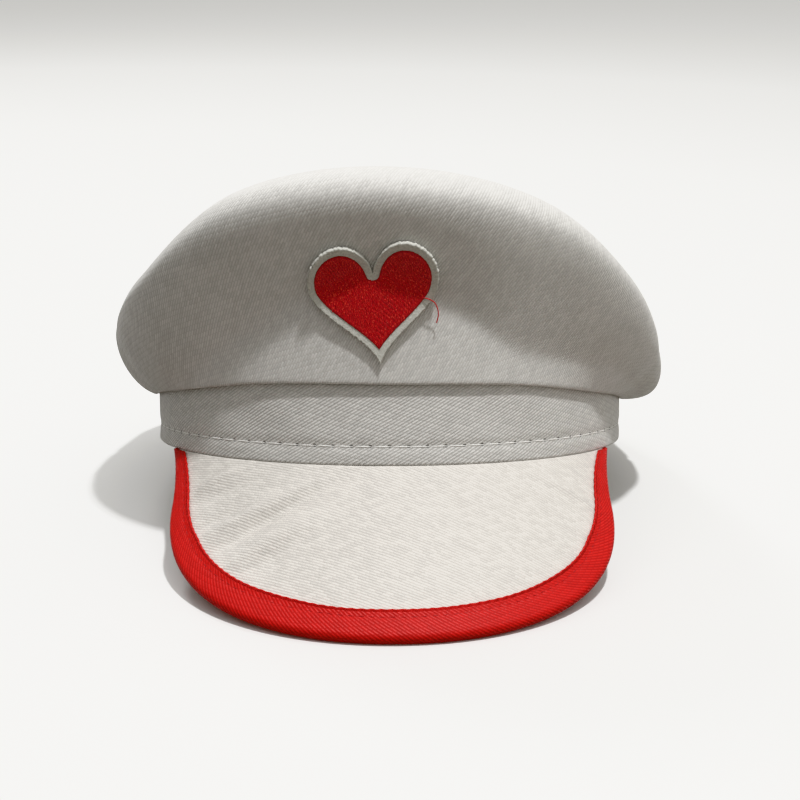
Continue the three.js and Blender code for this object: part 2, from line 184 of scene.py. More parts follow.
class Workshop:
    """Turns points in the cap's frame into Blender meshes in the row's frame."""

    def __init__(self, placement: Placement) -> None:
        """Takes the placement that moves every mesh."""
        self.placement = placement

    def mesh(
        self,
        name: str,
        points: Array,
        faces: Sequence[Sequence[int]],
        finish: bpy.types.Material,
        uv: Array,
    ) -> bpy.types.Object:
        """Makes one smooth-shaded object.

        Args:
            name: the piece's name.
            points: its vertices in the cap's frame, in millimetres.
            faces: vertex numbers, counter-clockwise seen from outside.
            finish: its material.
            uv: a place on the flat cloth for each vertex, in millimetres.

        Returns:
            The object, at the origin.
        """
        data = bpy.data.meshes.new(name)
        data.from_pydata(self.placement.place(points).tolist(), [], [list(f) for f in faces])
        corners = np.empty(len(data.loops), np.int32)
        data.loops.foreach_get("vertex_index", corners)
        layer = data.uv_layers.new(name=CLOTH_UV)
        layer.data.foreach_set("uv", (uv[corners] * MM).astype(np.float32).ravel())
        data.shade_smooth()
        data.materials.append(finish)
        return stand(name, data)

    def shell(
        self,
        name: str,
        outer: Array,
        inner: Array,
        uv: Array,
        finish: bpy.types.Material,
        wrap: bool = False,
        pole: bool = False,
    ) -> bpy.types.Object:
        """Makes a closed wall of cloth from two grids that meet along their open edges.

        Args:
            name: the piece's name.
            outer: the outer face, as columns by rows of points.
            inner: the inner face, in step with the outer one.
            uv: a place on the flat cloth for each point of the grid.
            finish: its material.
            wrap: whether the last column joins the first.
            pole: whether the last row is one point.

        Returns:
            The object.
        """
        columns, rows = outer.shape[:2]
        front = np.arange(columns * rows).reshape(columns, rows)
        back = front + columns * rows
        back[:, 0] = front[:, 0]
        if pole:
            front[:, -1] = front[0, -1]
            back[:, -1] = back[0, -1]
        else:
            back[:, -1] = front[:, -1]
        if not wrap:
            back[0] = front[0]
            back[-1] = front[-1]
        faces = self.quads(front, wrap) + [f[::-1] for f in self.quads(back, wrap)]
        points = np.concatenate([outer.reshape(-1, 3), inner.reshape(-1, 3)])
        used, faces = self.used_points(faces)
        both = np.concatenate([uv.reshape(-1, 2), uv.reshape(-1, 2)])
        return self.mesh(name, points[used], faces, finish, both[used])

    def loft(
        self, name: str, grid: Array, uv: Array, finish: bpy.types.Material, wrap: bool
    ) -> bpy.types.Object:
        """Makes a closed body from closed sections, with flat ends unless it wraps round.

        Args:
            name: the piece's name.
            grid: the sections, as sections by points, counter-clockwise seen from ahead.
            uv: a place on the flat cloth for each point.
            finish: its material.
            wrap: whether the last section joins the first.

        Returns:
            The object.
        """
        sections, count = grid.shape[:2]
        numbers = np.arange(sections * count).reshape(sections, count)
        looped = np.concatenate([numbers, numbers[:, :1]], axis=1)
        faces = [f[::-1] for f in self.quads(looped, wrap)]
        if not wrap:
            faces.append(numbers[0][::-1].tolist())
            faces.append(numbers[-1].tolist())
        return self.mesh(name, grid.reshape(-1, 3), faces, finish, uv.reshape(-1, 2))

    @staticmethod
    def quads(numbers: Array, wrap: bool) -> list[list[int]]:
        """The faces of a grid, with triangles where two corners are one point.

        Args:
            numbers: the grid's vertex numbers, as columns by rows.
            wrap: whether the last column joins the first.

        Returns:
            The vertex numbers of each face.
        """
        following = np.roll(numbers, -1, axis=0)
        span = slice(None) if wrap else slice(0, -1)
        here, there = numbers[span], following[span]
        corners = np.stack([here[:, :-1], there[:, :-1], there[:, 1:], here[:, 1:]], axis=-1).reshape(-1, 4)
        return [list(dict.fromkeys(face)) for face in corners.tolist()]

    @staticmethod
    def used_points(faces: list[list[int]]) -> tuple[Array, list[list[int]]]:
        """Drops the vertices that no face uses.

        Args:
            faces: vertex numbers of each face.

        Returns:
            The numbers of the vertices in use, and the faces numbered after them.
        """
        used = np.unique(np.concatenate([np.asarray(f) for f in faces]))
        renumber = np.full(used[-1] + 1, -1)
        renumber[used] = np.arange(len(used))
        return used, [renumber[f].tolist() for f in faces]


@dataclass(frozen=True)
class CrownSection:
    """One section of the crown: shares of its sag, reach and rise, and how full its side is.

    The front's wall also has a lower face that stands nearly straight up to an edge, a share of the way, and
    overhangs from there. The last column says how much of that form the section has.
    """

    angle: float
    sag: float
    reach: float
    rise: float
    full: float
    edge: float = 0.3
    straight: float = 0.0


@dataclass(frozen=True)
class SoftFold:
    """A soft fold or dent in the crown's cloth: where it lies, its size in millimetres and how it leans."""

    angle: float
    way: float
    across: float
    along: float
    height: float
    lean: float


@dataclass
class Band:
    """The stiffened ring of cloth round the head."""

    half_width: float = 88.0
    back_reach: float = 102.0
    height: float = 27.5
    wall: float = 3.0
    hem: float = 0.9
    rim_mount_inset: float = 2.3
    stitch_height: float = 6.4
    stitch_groove: float = 0.35
    groove_width: float = 1.6
    unevenness: float = 0.22
    wave_count: float = 7.0
    wave_rise: float = 9.0
    nape_dip: float = 0.6
    nape_width: float = 1.3
    fade_height: float = 4.0
    hem_steps: int = 7
    top_bevel: float = 0.2
    foot_bevel: tuple[float, float] = (0.3, 0.1)
    inner_top: float = 2.0
    inner_foot: float = 0.6
    inner_rows: int = 12
    columns: int = 560
    row_step: float = 0.75

    @property
    def middle(self) -> float:
        """How far behind the front half circle's centre the middle of the opening lies."""
        return (self.back_reach - self.half_width) / 2

    def plan(self, angle: Array) -> tuple[Array, Array]:
        """The band's outer face seen from above.

        Args:
            angle: angles from the front, in radians.

        Returns:
            The points there and the outward directions, both flat.
        """
        depth = np.where(np.cos(angle) > 0, self.half_width, self.back_reach)
        at = np.stack([self.half_width * np.sin(angle), -depth * np.cos(angle)], axis=-1)
        out = unit(np.stack([np.sin(angle) / self.half_width, -np.cos(angle) / depth], axis=-1))
        return at, out

    def beside(self, angle: Array, reach: Array, z: Array) -> Array:
        """Points beside the band.

        Args:
            angle: angles from the front, in radians.
            reach: distances outside the band's outer face.
            z: heights above the rim.

        Returns:
            The points.
        """
        at, out = self.plan(angle)
        flat = at + out * np.asarray(reach)[..., None]
        return np.concatenate([flat, np.broadcast_to(z, flat.shape[:-1])[..., None]], axis=-1)

    def arc_length(self, angle: Array) -> Array:
        """Length along the outer face from the front.

        Args:
            angle: angles from the front, in radians.

        Returns:
            The lengths, signed as the angles are.
        """
        fine = np.linspace(-math.pi, math.pi, 2881)
        run = run_length(self.plan(fine)[0])
        return np.interp(angle, fine, run - run[len(run) // 2])

    def relief(self, angle: Array, z: Array) -> Array:
        """How far the outer cloth stands in or out: the stitches' groove, the nape's seam and waver.

        Args:
            angle: angles from the front, in radians.
            z: heights above the rim.

        Returns:
            Distances outwards, in millimetres.
        """
        groove = -self.stitch_groove * np.exp(-(((z - self.stitch_height) / self.groove_width) ** 2))
        waver = self.unevenness * waves(self.wave_count * angle + z / self.wave_rise, 1.3)
        nape = np.abs(np.angle(np.exp(1j * (angle - math.pi)))) * self.back_reach
        seam = -self.nape_dip * np.exp(-((nape / self.nape_width) ** 2))
        return groove + (waver + seam) * np.clip(z / self.fade_height, 0, 1)

    def build(self, shop: Workshop, finish: bpy.types.Material) -> bpy.types.Object:
        """Makes the ring, with its folded lower edge.

        Args:
            shop: makes the mesh.
            finish: the white satin.

        Returns:
            The band.
        """
        bend = np.linspace(0, math.pi / 2, self.hem_steps)
        hem = np.stack([-self.hem * (1 - np.sin(bend)), self.hem * (1 - np.cos(bend))], axis=-1)
        outside = np.arange(self.hem + self.row_step, self.height, self.row_step)
        high, bevel = self.height, self.top_bevel
        top = np.array([[-bevel, high], [-self.wall / 2, high], [-self.wall, high - bevel]])
        inside = np.linspace(high - self.inner_top, self.inner_foot, self.inner_rows)
        profile = np.concatenate(
            [
                hem,
                np.stack([np.zeros_like(outside), outside], axis=-1),
                top,
                np.stack([np.full_like(inside, -self.wall), inside], axis=-1),
                [[-self.wall + self.foot_bevel[0], self.foot_bevel[1]]],
            ]
        )
        angle = np.linspace(-math.pi, math.pi, self.columns + 1)[:-1]
        columns, heights = np.meshgrid(angle, profile[:, 1], indexing="ij")
        reach = np.broadcast_to(profile[:, 0], columns.shape)
        outer = reach > -self.hem
        reach = reach + np.where(outer, self.relief(columns, heights), 0)
        grid = self.beside(columns, reach, heights)
        along_profile = np.broadcast_to(run_length(profile), columns.shape)
        uv = np.stack([self.arc_length(columns), along_profile], axis=-1)
        return shop.loft("band_cloth", grid[:, ::-1], uv[:, ::-1], finish, wrap=True)

    def stitch_path(self) -> tuple[Array, Array]:
        """The line of topstitching over the hem.

        Returns:
            The line's points, and the outward directions there.
        """
        angle = np.linspace(-math.pi, math.pi, 721)
        reach = self.relief(angle, np.full_like(angle, self.stitch_height))
        path = self.beside(angle, reach, np.full_like(angle, self.stitch_height))
        _, out = self.plan(angle)
        return path, np.concatenate([out, np.zeros((len(angle), 1))], axis=-1)


@dataclass
class Crown:
    """The soft crown: a front and a back panel that roll over a ridge, and a top panel between them."""

    band: Band
    cloth: float = 1.8
    clearance: float = 0.3
    rise: float = 70.0
    reach: float = 16.0
    sag: float = 12.5
    ridge_roll: float = 12.0
    roll_height: float = 8.5
    lower_lean: float = 0.12
    edge_softness: float = 0.022
    roll_on: int = 10
    top_sink: float = 3.0
    top_seam_inset: float = 9.0
    side_seam: float = math.radians(99)
    seam_dip: float = 0.9
    seam_width: float = 1.7
    pucker: float = 0.22
    pucker_length: float = 7.5
    pucker_reach: float = 6.0
    pucker_seeds: tuple[float, float, float] = (0.7, 2.3, 4.1)
    top_waves: int = 5
    column_step: float = 1.25
    row_step: float = 1.25
    top_column_share: float = 1.6
    top_row_share: float = 1.2
    small_step: float = 1e-3
    fold_depth: float = 30.0
    fold_fade: float = 12.0
    sections: tuple[CrownSection, ...] = (
        CrownSection(-180, 0.15, 0.66, 0.34, 1.0),
        CrownSection(-150, 0.3, 0.78, 0.27, 1.0),
        CrownSection(-120, 0.74, 0.92, 0.19, 1.0),
        CrownSection(-90, 0.93, 1.0, 0.235, 0.95),
        CrownSection(-60, 0.54, 1.0, 0.535, 1.0, 0.02, 0.35),
        CrownSection(-30, 0.08, 1.12, 0.9, 1.0, 0.34, 1.0),
        CrownSection(0, 0.02, 1.14, 1.0, 1.0, 0.6, 1.0),
        CrownSection(30, 0.12, 1.15, 0.86, 1.05, 0.21, 1.0),
        CrownSection(60, 0.61, 0.98, 0.475, 1.2, 0.3, 0.5),
        CrownSection(90, 1.08, 0.97, 0.035, 1.2),
        CrownSection(120, 0.84, 0.92, 0.1, 1.25),
        CrownSection(150, 0.34, 0.78, 0.24, 1.05),
    )
    folds: tuple[SoftFold, ...] = (
        SoftFold(-58, 0.5, 10, 26, 0.5, 0.4),
        SoftFold(-76, 0.5, 7, 20, -0.6, 0.3),
        SoftFold(52, 0.5, 11, 26, 0.5, -0.4),
        SoftFold(74, 0.55, 7, 18, -0.7, -0.3),
        SoftFold(-112, 0.8, 8, 22, 1.0, 0.2),
        SoftFold(118, 0.7, 8, 22, -1.0, -0.2),
        SoftFold(160, 0.6, 12, 20, 0.9, 0.1),
        SoftFold(-150, 0.6, 10, 22, -0.9, 0.3),
        SoftFold(-125, 2.35, 7, 34, -1.3, 1.2),
        SoftFold(-100, 2.3, 6, 30, 0.9, 0.8),
        SoftFold(105, 2.35, 7, 34, -1.3, -0.9),
        SoftFold(140, 2.4, 8, 30, 1.0, -0.5),
        SoftFold(175, 2.45, 9, 34, -1.1, 0.2),
        SoftFold(-20, 2.5, 14, 26, -0.9, 0.3),
    )

    def __post_init__(self) -> None:
        """Works out the waves of the ridge, which the top hangs from."""
        self.ridge_parts = self._ridge_parts()

    def column(self, angle: Array, name: str) -> Array:
        """One column of the sections' table, read between its rows.

        Args:
            angle: angles from the front, in radians.
            name: the column.

        Returns:
            The values there.
        """
        values = np.array([getattr(s, name) for s in self.sections])
        count = len(values)
        along = np.mod((angle - math.radians(self.sections[0].angle)) * count / TURN, count)
        row = np.floor(along).astype(int) % count
        share = along - np.floor(along)
        before, here, after, beyond = (values[(row + k) % count] for k in (-1, 0, 1, 2))
        return cubic(here, (after - before) / 2, after, (beyond - here) / 2, share)

    def ridge(self, angle: Array) -> Array:
        """The top of the ridge, where the roll ends and the top begins."""
        reach = self.reach * self.column(angle, "reach") - self.ridge_roll
        return self.band.beside(angle, reach, self.band.height + self.rise * self.column(angle, "rise"))

    def _ridge_parts(self) -> list[tuple[int, float, float]]:
        """The ridge's height round the crown as waves.

        Returns:
            Each wave's order, cosine part and sine part.
        """
        angle = np.linspace(0, TURN, 360, endpoint=False)
        height = self.ridge(angle)[:, 2]
        parts = []
        for order in range(self.top_waves + 1):
            scale = (1 if order == 0 else 2) / len(angle)
            cosine = scale * float(np.sum(height * np.cos(order * angle)))
            parts.append((order, cosine, scale * float(np.sum(height * np.sin(order * angle)))))
        return parts

    def top_height(self, angle: Array, u: Array, ridge_height: Array) -> Array:
        """Height of the top at a share u of the way from its middle to the ridge, as a film that sinks.

        Args:
            angle: angles from the front, in radians.
            u: shares of the way, 1 at the ridge.
            ridge_height: the ridge's height at those angles.

        Returns:
            The heights above the rim.
        """
        film = np.zeros_like(u * angle)
        edge = np.zeros_like(film)
        for order, cosine, sine in self.ridge_parts:
            wave = cosine * np.cos(order * angle) + sine * np.sin(order * angle)
            film = film + u**order * wave
            edge = edge + wave
        return film - self.top_sink * (1 - u * u) + (ridge_height - edge) * u ** (self.top_waves + 2)

    def bare(self, angle: Array, way: Array) -> Array:
        """A point of the smooth outer surface.

        Args:
            angle: angles from the front, in radians.
            way: 0 to 1 from the band to the widest point, 1 to 2 over the ridge, 2 to 3 on to the middle.

        Returns:
            The points.
        """
        angle, way = np.broadcast_arrays(angle, way)
        sag = self.sag * self.column(angle, "sag")
        reach = self.reach * self.column(angle, "reach")
        wide = self.band.height + self.rise * self.column(angle, "rise") - self.roll_height
        leave = (math.pi / 2) * np.minimum(1 - sag / self.sag, 1)
        foot = self.clearance + self.cloth * np.maximum(np.sin(leave), 0)
        foot_z = self.band.height - sag
        pull = np.hypot(reach - foot, wide - foot_z) * self.column(angle, "full")
        wall = np.clip(way, 0, 1)
        straight = self.column(angle, "straight")
        share = self.overhang(wall, self.column(angle, "edge"))
        side_reach = cubic(foot, pull * np.cos(leave), reach, np.zeros_like(reach), wall)
        side_reach = side_reach + straight * (foot + (reach - foot) * share - side_reach)
        side_z = cubic(foot_z, pull * np.sin(leave), wide, pull, wall)
        side_z = side_z + straight * (foot_z + (wide - foot_z) * wall - side_z)
        ridge = self.ridge(angle)
        run = np.hypot(ridge[..., 0], ridge[..., 1] - self.band.middle)
        step = self.small_step
        beside_ridge = self.top_height(angle, np.full_like(way, 1 - step), ridge[..., 2])
        climb = (ridge[..., 2] - beside_ridge) / (step * run)
        round_pull = (math.sqrt(2) - 1) * 4
        inwards = self.ridge_roll * round_pull
        roll = np.clip(way - 1, 0, 1)
        roll_reach = cubic(reach, np.zeros_like(reach), reach - self.ridge_roll, -inwards, roll)
        roll_z = cubic(wide, self.roll_height * round_pull, ridge[..., 2], -inwards * climb, roll)
        side = self.band.beside(
            angle, np.where(way <= 1, side_reach, roll_reach), np.where(way <= 1, side_z, roll_z)
        )
        u = np.clip(3 - way, 0, 1)
        top = np.stack(
            [
                ridge[..., 0] * u,
                self.band.middle + (ridge[..., 1] - self.band.middle) * u,
                self.top_height(angle, u, ridge[..., 2]),
            ],
            axis=-1,
        )
        return np.where((way <= 2)[..., None], side, top)

    def overhang(self, wall: Array, edge: Array) -> Array:
        """Shares of the reach that the front's wall has at shares of its height.

        Args:
            wall: shares of the height.
            edge: where the lower face ends and the overhang begins.

        Returns:
            Shares from 0 to 1.
        """

        def flare(share: Array) -> Array:
            """The reach before it is scaled.

            Args:
                share: shares of the height.

            Returns:
                A lean, then a soft turn into the overhang.
            """
            eased = share - share**self.roll_on / self.roll_on
            start = edge - edge**self.roll_on / self.roll_on
            beyond = np.logaddexp(0, (eased - start) / self.edge_softness)
            return self.lower_lean * eased + self.edge_softness * beyond

        low = flare(np.zeros_like(wall))
        return (flare(wall) - low) / (flare(np.ones_like(wall)) - low)

    def normal(self, angle: Array, way: Array) -> Array:
        """The smooth surface's outward direction, from two small steps on it.

        Args:
            angle: angles from the front, in radians.
            way: the way along the surface, as in bare().

        Returns:
            The directions.
        """
        step = self.small_step
        inner = np.minimum(way, 3 - 2 * step)
        across = self.bare(angle + step, inner) - self.bare(angle - step, inner)
        up = self.bare(angle, inner + step) - self.bare(angle, np.maximum(inner - step, 0))
        return unit(np.cross(across, up))

    def relief(self, angle: Array, way: Array, place: Array) -> Array:
        """How far the cloth stands in or out of the smooth surface at its soft folds.

        Args:
            angle: angles from the front, in radians.
            way: the way along the surface, as in bare().
            place: the smooth surface's points there.

        Returns:
            Heights in millimetres.
        """
        height = np.zeros(np.broadcast(angle, way).shape)
        for fold in self.folds:
            turn = math.radians(fold.angle)
            centre = self.bare(np.array(turn), np.array(fold.way))
            side = unit(np.array([math.cos(turn), math.sin(turn), 0.0]))
            ahead = self.bare(np.array(turn), np.array(fold.way + 0.02))
            up = unit(ahead - centre)
            depth = (place - centre) @ np.cross(side, up)
            sideways = (place - centre) @ side
            onwards = (place - centre) @ up
            cross = sideways * math.cos(fold.lean) + onwards * math.sin(fold.lean)
            down = onwards * math.cos(fold.lean) - sideways * math.sin(fold.lean)
            spread = (cross / fold.across) ** 2 + (down / fold.along) ** 2 + (depth / self.fold_depth) ** 2
            height = height + fold.height * np.exp(-spread)
        return height

    def seam_pull(self, distance: Array, along: Array, seed: float) -> Array:
        """The dip and the small puckers beside a seam.

        Args:
            distance: distance from the seam, in millimetres.
            along: length along the seam.
            seed: shifts the puckers.

        Returns:
            Heights in millimetres.
        """
        dip = -self.seam_dip * np.exp(-((distance / self.seam_width) ** 2))
        ripple = self.pucker * waves(TURN * along / self.pucker_length, seed)
        return dip + ripple * np.exp(-((distance / self.pucker_reach) ** 2))

    def wall(self, angle: Array, way: Array, rim: Array, seams: Array) -> tuple[Array, Array]:
        """The outer and inner faces of a panel's cloth.

        Args:
            angle: the grid's angles.
            way: the grid's ways.
            rim: distance of each point from the nearest cut edge, in millimetres.
            seams: the pull of the seams at each point.

        Returns:
            The outer and the inner face.
        """
        bare = self.bare(angle, way)
        out = self.normal(angle, way)
        lift = self.relief(angle, way, bare) * np.clip(rim / self.fold_fade, 0, 1) + seams
        half = self.cloth / 2
        round_off = np.sqrt(1 - (1 - np.clip(rim / half, 0, 1)) ** 2)
        middle = bare + out * (lift - half)[..., None]
        aside = out * (half * round_off)[..., None]
        return middle + aside, middle - aside

    def side_ways(self, angle: Array) -> tuple[Array, Array, Array]:
        """The grid of ways for a side panel.

        Args:
            angle: the columns' angles.

        Returns:
            The ways, the length along the cloth from the foot, and the length left to the top seam.
        """
        fine = np.linspace(0, 2 + self.top_seam_inset / self.band.half_width, 240)
        columns, ways = np.meshgrid(angle, fine, indexing="ij")
        steps = np.linalg.norm(np.diff(self.bare(columns, ways), axis=1), axis=-1)
        length = np.concatenate([np.zeros((len(angle), 1)), np.cumsum(steps, axis=1)], axis=1)
        longest = float(length[:, -1].max())
        shares = graded(0, longest, self.row_step) / longest
        close = graded(0, 1, 0.02, (0.0, 0.002, 0.006, 0.012))
        shares = shares if len(shares) > len(close) else close
        wanted = shares[None, :] * length[:, -1:]
        way = np.stack([np.interp(w, lengths, fine) for w, lengths in zip(wanted, length)])
        return way, wanted, length[:, -1:] - wanted

    def side_panel(
        self, shop: Workshop, name: str, start: float, end: float, finish: bpy.types.Material
    ) -> bpy.types.Object:
        """Makes the front or the back panel.

        Args:
            shop: makes the mesh.
            name: the piece's name.
            start: angle of its first side seam.
            end: angle of its second side seam.
            finish: the white satin.

        Returns:
            The panel.
        """
        width = self.band.half_width + self.reach
        angle = graded(start * width, end * width, self.column_step) / width
        way, along, left = self.side_ways(angle)
        columns = np.broadcast_to(angle[:, None], way.shape)
        from_side = np.minimum(columns - start, end - columns) * width
        rim = np.minimum(np.minimum(from_side, along), left)
        side_seed, ridge_seed, _ = self.pucker_seeds
        seams = self.seam_pull(from_side, along, side_seed) + self.seam_pull(left, columns * width, ridge_seed)
        outer, inner = self.wall(columns, way, rim, seams)
        foot = self.bare(angle, np.zeros_like(angle))[:, None, 2]
        uv = np.stack([columns * width, foot + along], axis=-1)
        return shop.shell(name, outer, inner, uv, finish)

    def top_panel(self, shop: Workshop, finish: bpy.types.Material) -> bpy.types.Object:
        """Makes the top panel, as rings from its seam to the middle.

        Args:
            shop: makes the mesh.
            finish: the white satin.

        Returns:
            The panel.
        """
        count = int(TURN * self.band.half_width / (self.top_column_share * self.column_step))
        angle = np.linspace(0, TURN, count, endpoint=False)
        radius = self.band.half_width - self.top_seam_inset
        inwards = graded(0, radius, self.row_step * self.top_row_share)[:-3]
        inwards = np.append(inwards, radius)
        seam = 2 + self.top_seam_inset / self.band.half_width
        ways = seam + (3 - seam) * inwards / radius
        columns, way = np.meshgrid(angle, ways, indexing="ij")
        rim = np.broadcast_to(inwards, way.shape)
        seams = self.seam_pull(rim, columns * radius, self.pucker_seeds[2])
        outer, inner = self.wall(columns, way, rim, seams)
        uv = self.bare(columns, way)[..., :2]
        return shop.shell("crown_top_cloth", outer, inner, uv, finish, wrap=True, pole=True)

    def front_place(self, x: Array, rise: Array) -> tuple[Array, Array]:
        """The place on the crown's front at a distance to the side and above the band.

        Args:
            x: distances to the side.
            rise: heights above the band's top.

        Returns:
            The points and the outward directions there.
        """
        angle = np.arcsin(x / self.band.half_width)
        way = np.zeros_like(angle)
        for _ in range(6):
            low = np.zeros_like(angle)
            high = np.ones_like(angle)
            for _ in range(22):
                way = (low + high) / 2
                below = self.bare(angle, way)[..., 2] - self.band.height < rise
                low = np.where(below, way, low)
                high = np.where(below, high, way)
            at = self.bare(angle, way)
            angle = np.arcsin(x / np.hypot(at[..., 0], at[..., 1]))
        return self.bare(angle, way), self.normal(angle, way)


@dataclass(frozen=True)
class Ripple:
    """A soft ripple in the peak's cover: its two ends on the flat board, its width and its height."""

    start: tuple[float, float]
    end: tuple[float, float]
    width: float
    height: float


@dataclass
class Peak:
    """The peak: a flat board bent into a cone, covered in satin, with bound edges."""

    band: Band
    length: float = 64.3
    half_width: float = 82.0
    tip_flare: float = 7.0
    tip_back: float = 32.0
    turn: float = math.radians(0.8)
    squareness: float = 2.08
    slope: float = math.radians(50)
    board: float = 2.4
    binding_width: float = 10.5
    binding_cloth: float = 0.9
    clearance: float = 0.3
    root_upper: float = 0.06
    root_lower: float = -1.95
    under_band: float = -0.05
    ripple_fade: float = 0.45
    columns: int = 260
    rows: int = 64
    ripples: tuple[Ripple, ...] = (
        Ripple((-74, -2.5), (-53, -8), 2.2, 1.2),
        Ripple((-71, 3), (-48, -1.5), 2.4, -1.0),
        Ripple((-68, 14), (-46, 9.5), 2.2, -1.0),
        Ripple((-68, 18.5), (-34, 6.5), 3.0, 1.5),
        Ripple((-65, 26.5), (-21, 6), 2.6, -1.8),
        Ripple((-59, 33.5), (-25, 16), 3.4, 1.4),
        Ripple((-52, 38.5), (-30, 26), 3.8, -1.0),
        Ripple((48, -4.5), (75, 3), 2.0, 0.8),
    )

    def __post_init__(self) -> None:
        """Works out the board's bend and how far its binding stands out."""
        self.board_radius = self.band.half_width / math.cos(self.slope)
        self.fold = self.board / 2 + self.clearance + self.binding_cloth

    def bend(self, x: Array, y: Array, lift: Array) -> Array:
        """Points of the bent board.

        Args:
            x: places to the side on the flat board.
            y: places forward from the front of the band.
            lift: heights above the board's upper face.

        Returns:
            The points in the cap's frame.
        """
        run = np.hypot(x, y + self.board_radius) - self.board_radius
        angle = np.arctan2(x, y + self.board_radius) / math.cos(self.slope) + self.turn
        radius = self.band.half_width + run * math.cos(self.slope) + lift * math.sin(self.slope)
        z = lift * math.cos(self.slope) - run * math.sin(self.slope)
        return np.stack([radius * np.sin(angle), -radius * np.cos(angle), z], axis=-1)

    def on_board(self, x: Array, y: Array) -> Array:
        """Whether places on the flat board lie within its outline, inset inside the bound edge.

        Args:
            x: places to the side.
            y: places forward from the front of the band.

        Returns:
            True for the places within it.
        """
        half_width = self.half_width - self.fold
        length = self.length - self.fold
        beside = np.abs(x) < half_width + self.tip_flare * np.minimum(-y / self.tip_back, 1) ** 2
        ahead = np.abs(x / half_width) ** self.squareness + (np.abs(y) / length) ** self.squareness < 1
        return np.where(y < 0, beside, ahead)

    def board_run(self, theta: Array) -> Array:
        """How far the board runs out from the band.

        Args:
            theta: angles of the flat board.

        Returns:
            The distances along lines at those angles.
        """
        inside = np.full_like(theta, -self.tip_back)
        outside = np.full_like(theta, 2 * self.length)
        for _ in range(40):
            run = (inside + outside) / 2
            reach = self.board_radius + run
            within = self.on_board(reach * np.sin(theta), reach * np.cos(theta) - self.board_radius)
            inside = np.where(within, run, inside)
            outside = np.where(within, outside, run)
        return inside

    def board_angle(self, run: float) -> float:
        """The angle of the flat board at which its outline has a given distance from the band.

        Args:
            run: the distance.

        Returns:
            The angle, in radians.
        """
        low, high = 0.0, math.pi / 2
        for _ in range(40):
            theta = (low + high) / 2
            if self.board_run(np.array([theta]))[0] > run:
                low = theta
            else:
                high = theta
        return low

    def outline(self, theta: Array) -> tuple[Array, Array]:
        """The board's outline.

        Args:
            theta: angles of the flat board.

        Returns:
            The outline's points on the flat board, and the directions inwards from it.
        """

        def edge(at: Array) -> Array:
            """The outline's points at angles of the flat board."""
            reach = self.board_radius + self.board_run(at)
            return np.stack([reach * np.sin(at), reach * np.cos(at) - self.board_radius], axis=-1)

        along = unit(edge(theta + 1e-3) - edge(theta - 1e-3))
        return edge(theta), np.stack([along[..., 1], -along[..., 0]], axis=-1)

    def even_thetas(self, run: float, count: int) -> Array:
        """Angles of the flat board at even steps along its outline, between the two tips.

        Args:
            run: where the tips are cut, out from the band.
            count: how many angles.

        Returns:
            The angles, from the wearer's right to the left.
        """
        widest = self.board_angle(run)
        fine = np.linspace(-widest, widest, 1600)
        length = run_length(self.outline(fine)[0])
        return np.interp(np.linspace(0, length[-1], count), length, fine)

    def relief(self, x: Array, y: Array) -> Array:
        """The height of the cover's soft ripples.

        Args:
            x: places to the side on the flat board.
            y: places forward from the front of the band.

        Returns:
            The heights there.
        """
        height = np.zeros_like(x)
        for ripple in self.ripples:
            start = np.array(ripple.start)
            span = np.array(ripple.end) - start
            length = float(np.hypot(*span))
            along = ((x - start[0]) * span[0] + (y - start[1]) * span[1]) / length
            across = ((x - start[0]) * span[1] - (y - start[1]) * span[0]) / length
            envelope = np.exp(-(((along - length / 2) / (self.ripple_fade * length)) ** 2))
            height = height + ripple.height * envelope * np.exp(-((across / ripple.width) ** 2))
        return height

    def build(self, shop: Workshop, finish: bpy.types.Material) -> bpy.types.Object:
        """Makes the covered board.

        Args:
            shop: makes the mesh.
            finish: the white satin.

        Returns:
            The peak.
        """
        thetas = self.even_thetas(self.root_upper, self.columns) * (1 - 1e-6)
        share = np.linspace(0, 1, self.rows)
        runs = self.board_run(thetas)[:, None]
        faces = []
        for root, lift in ((self.root_upper, 0.0), (self.root_lower, -self.board)):
            run = runs + (np.minimum(root, runs) - runs) * share
            reach = self.board_radius + run
            x = reach * np.sin(thetas)[:, None]
            y = reach * np.cos(thetas)[:, None] - self.board_radius
            swell = self.relief(x, y) if lift == 0 else np.zeros_like(x)
            faces.append((x, y, self.bend(x, y, lift + swell)))
        (x, y, upper), (_, _, lower) = faces
        return self._slab(shop, "peak_cover", upper, lower, np.stack([x, y], axis=-1), finish)

    @staticmethod
    def _slab(
        shop: Workshop, name: str, upper: Array, lower: Array, uv: Array, finish: bpy.types.Material
    ) -> bpy.types.Object:
        """Joins an upper and a lower face by a wall all round.

        Args:
            shop: makes the mesh.
            name: the piece's name.
            upper: the upper face, as columns by rows of points.
            lower: the lower face, in step with it.
            uv: a place on the flat cloth for each point.
            finish: its material.

        Returns:
            The slab.
        """
        columns, rows = upper.shape[:2]
        top = np.arange(columns * rows).reshape(columns, rows)
        bottom = top + columns * rows
        faces = Workshop.quads(top, False) + [f[::-1] for f in Workshop.quads(bottom, False)]
        loop = [(c, 0) for c in range(columns)] + [(columns - 1, r) for r in range(1, rows)]
        loop += [(c, rows - 1) for c in range(columns - 2, -1, -1)] + [(0, r) for r in range(rows - 2, 0, -1)]
        for here, there in zip(loop, loop[1:] + loop[:1]):
            faces.append([top[there], top[here], bottom[here], bottom[there]])
        points = np.concatenate([upper.reshape(-1, 3), lower.reshape(-1, 3)])
        return shop.mesh(name, points, faces, finish, np.concatenate([uv.reshape(-1, 2)] * 2))


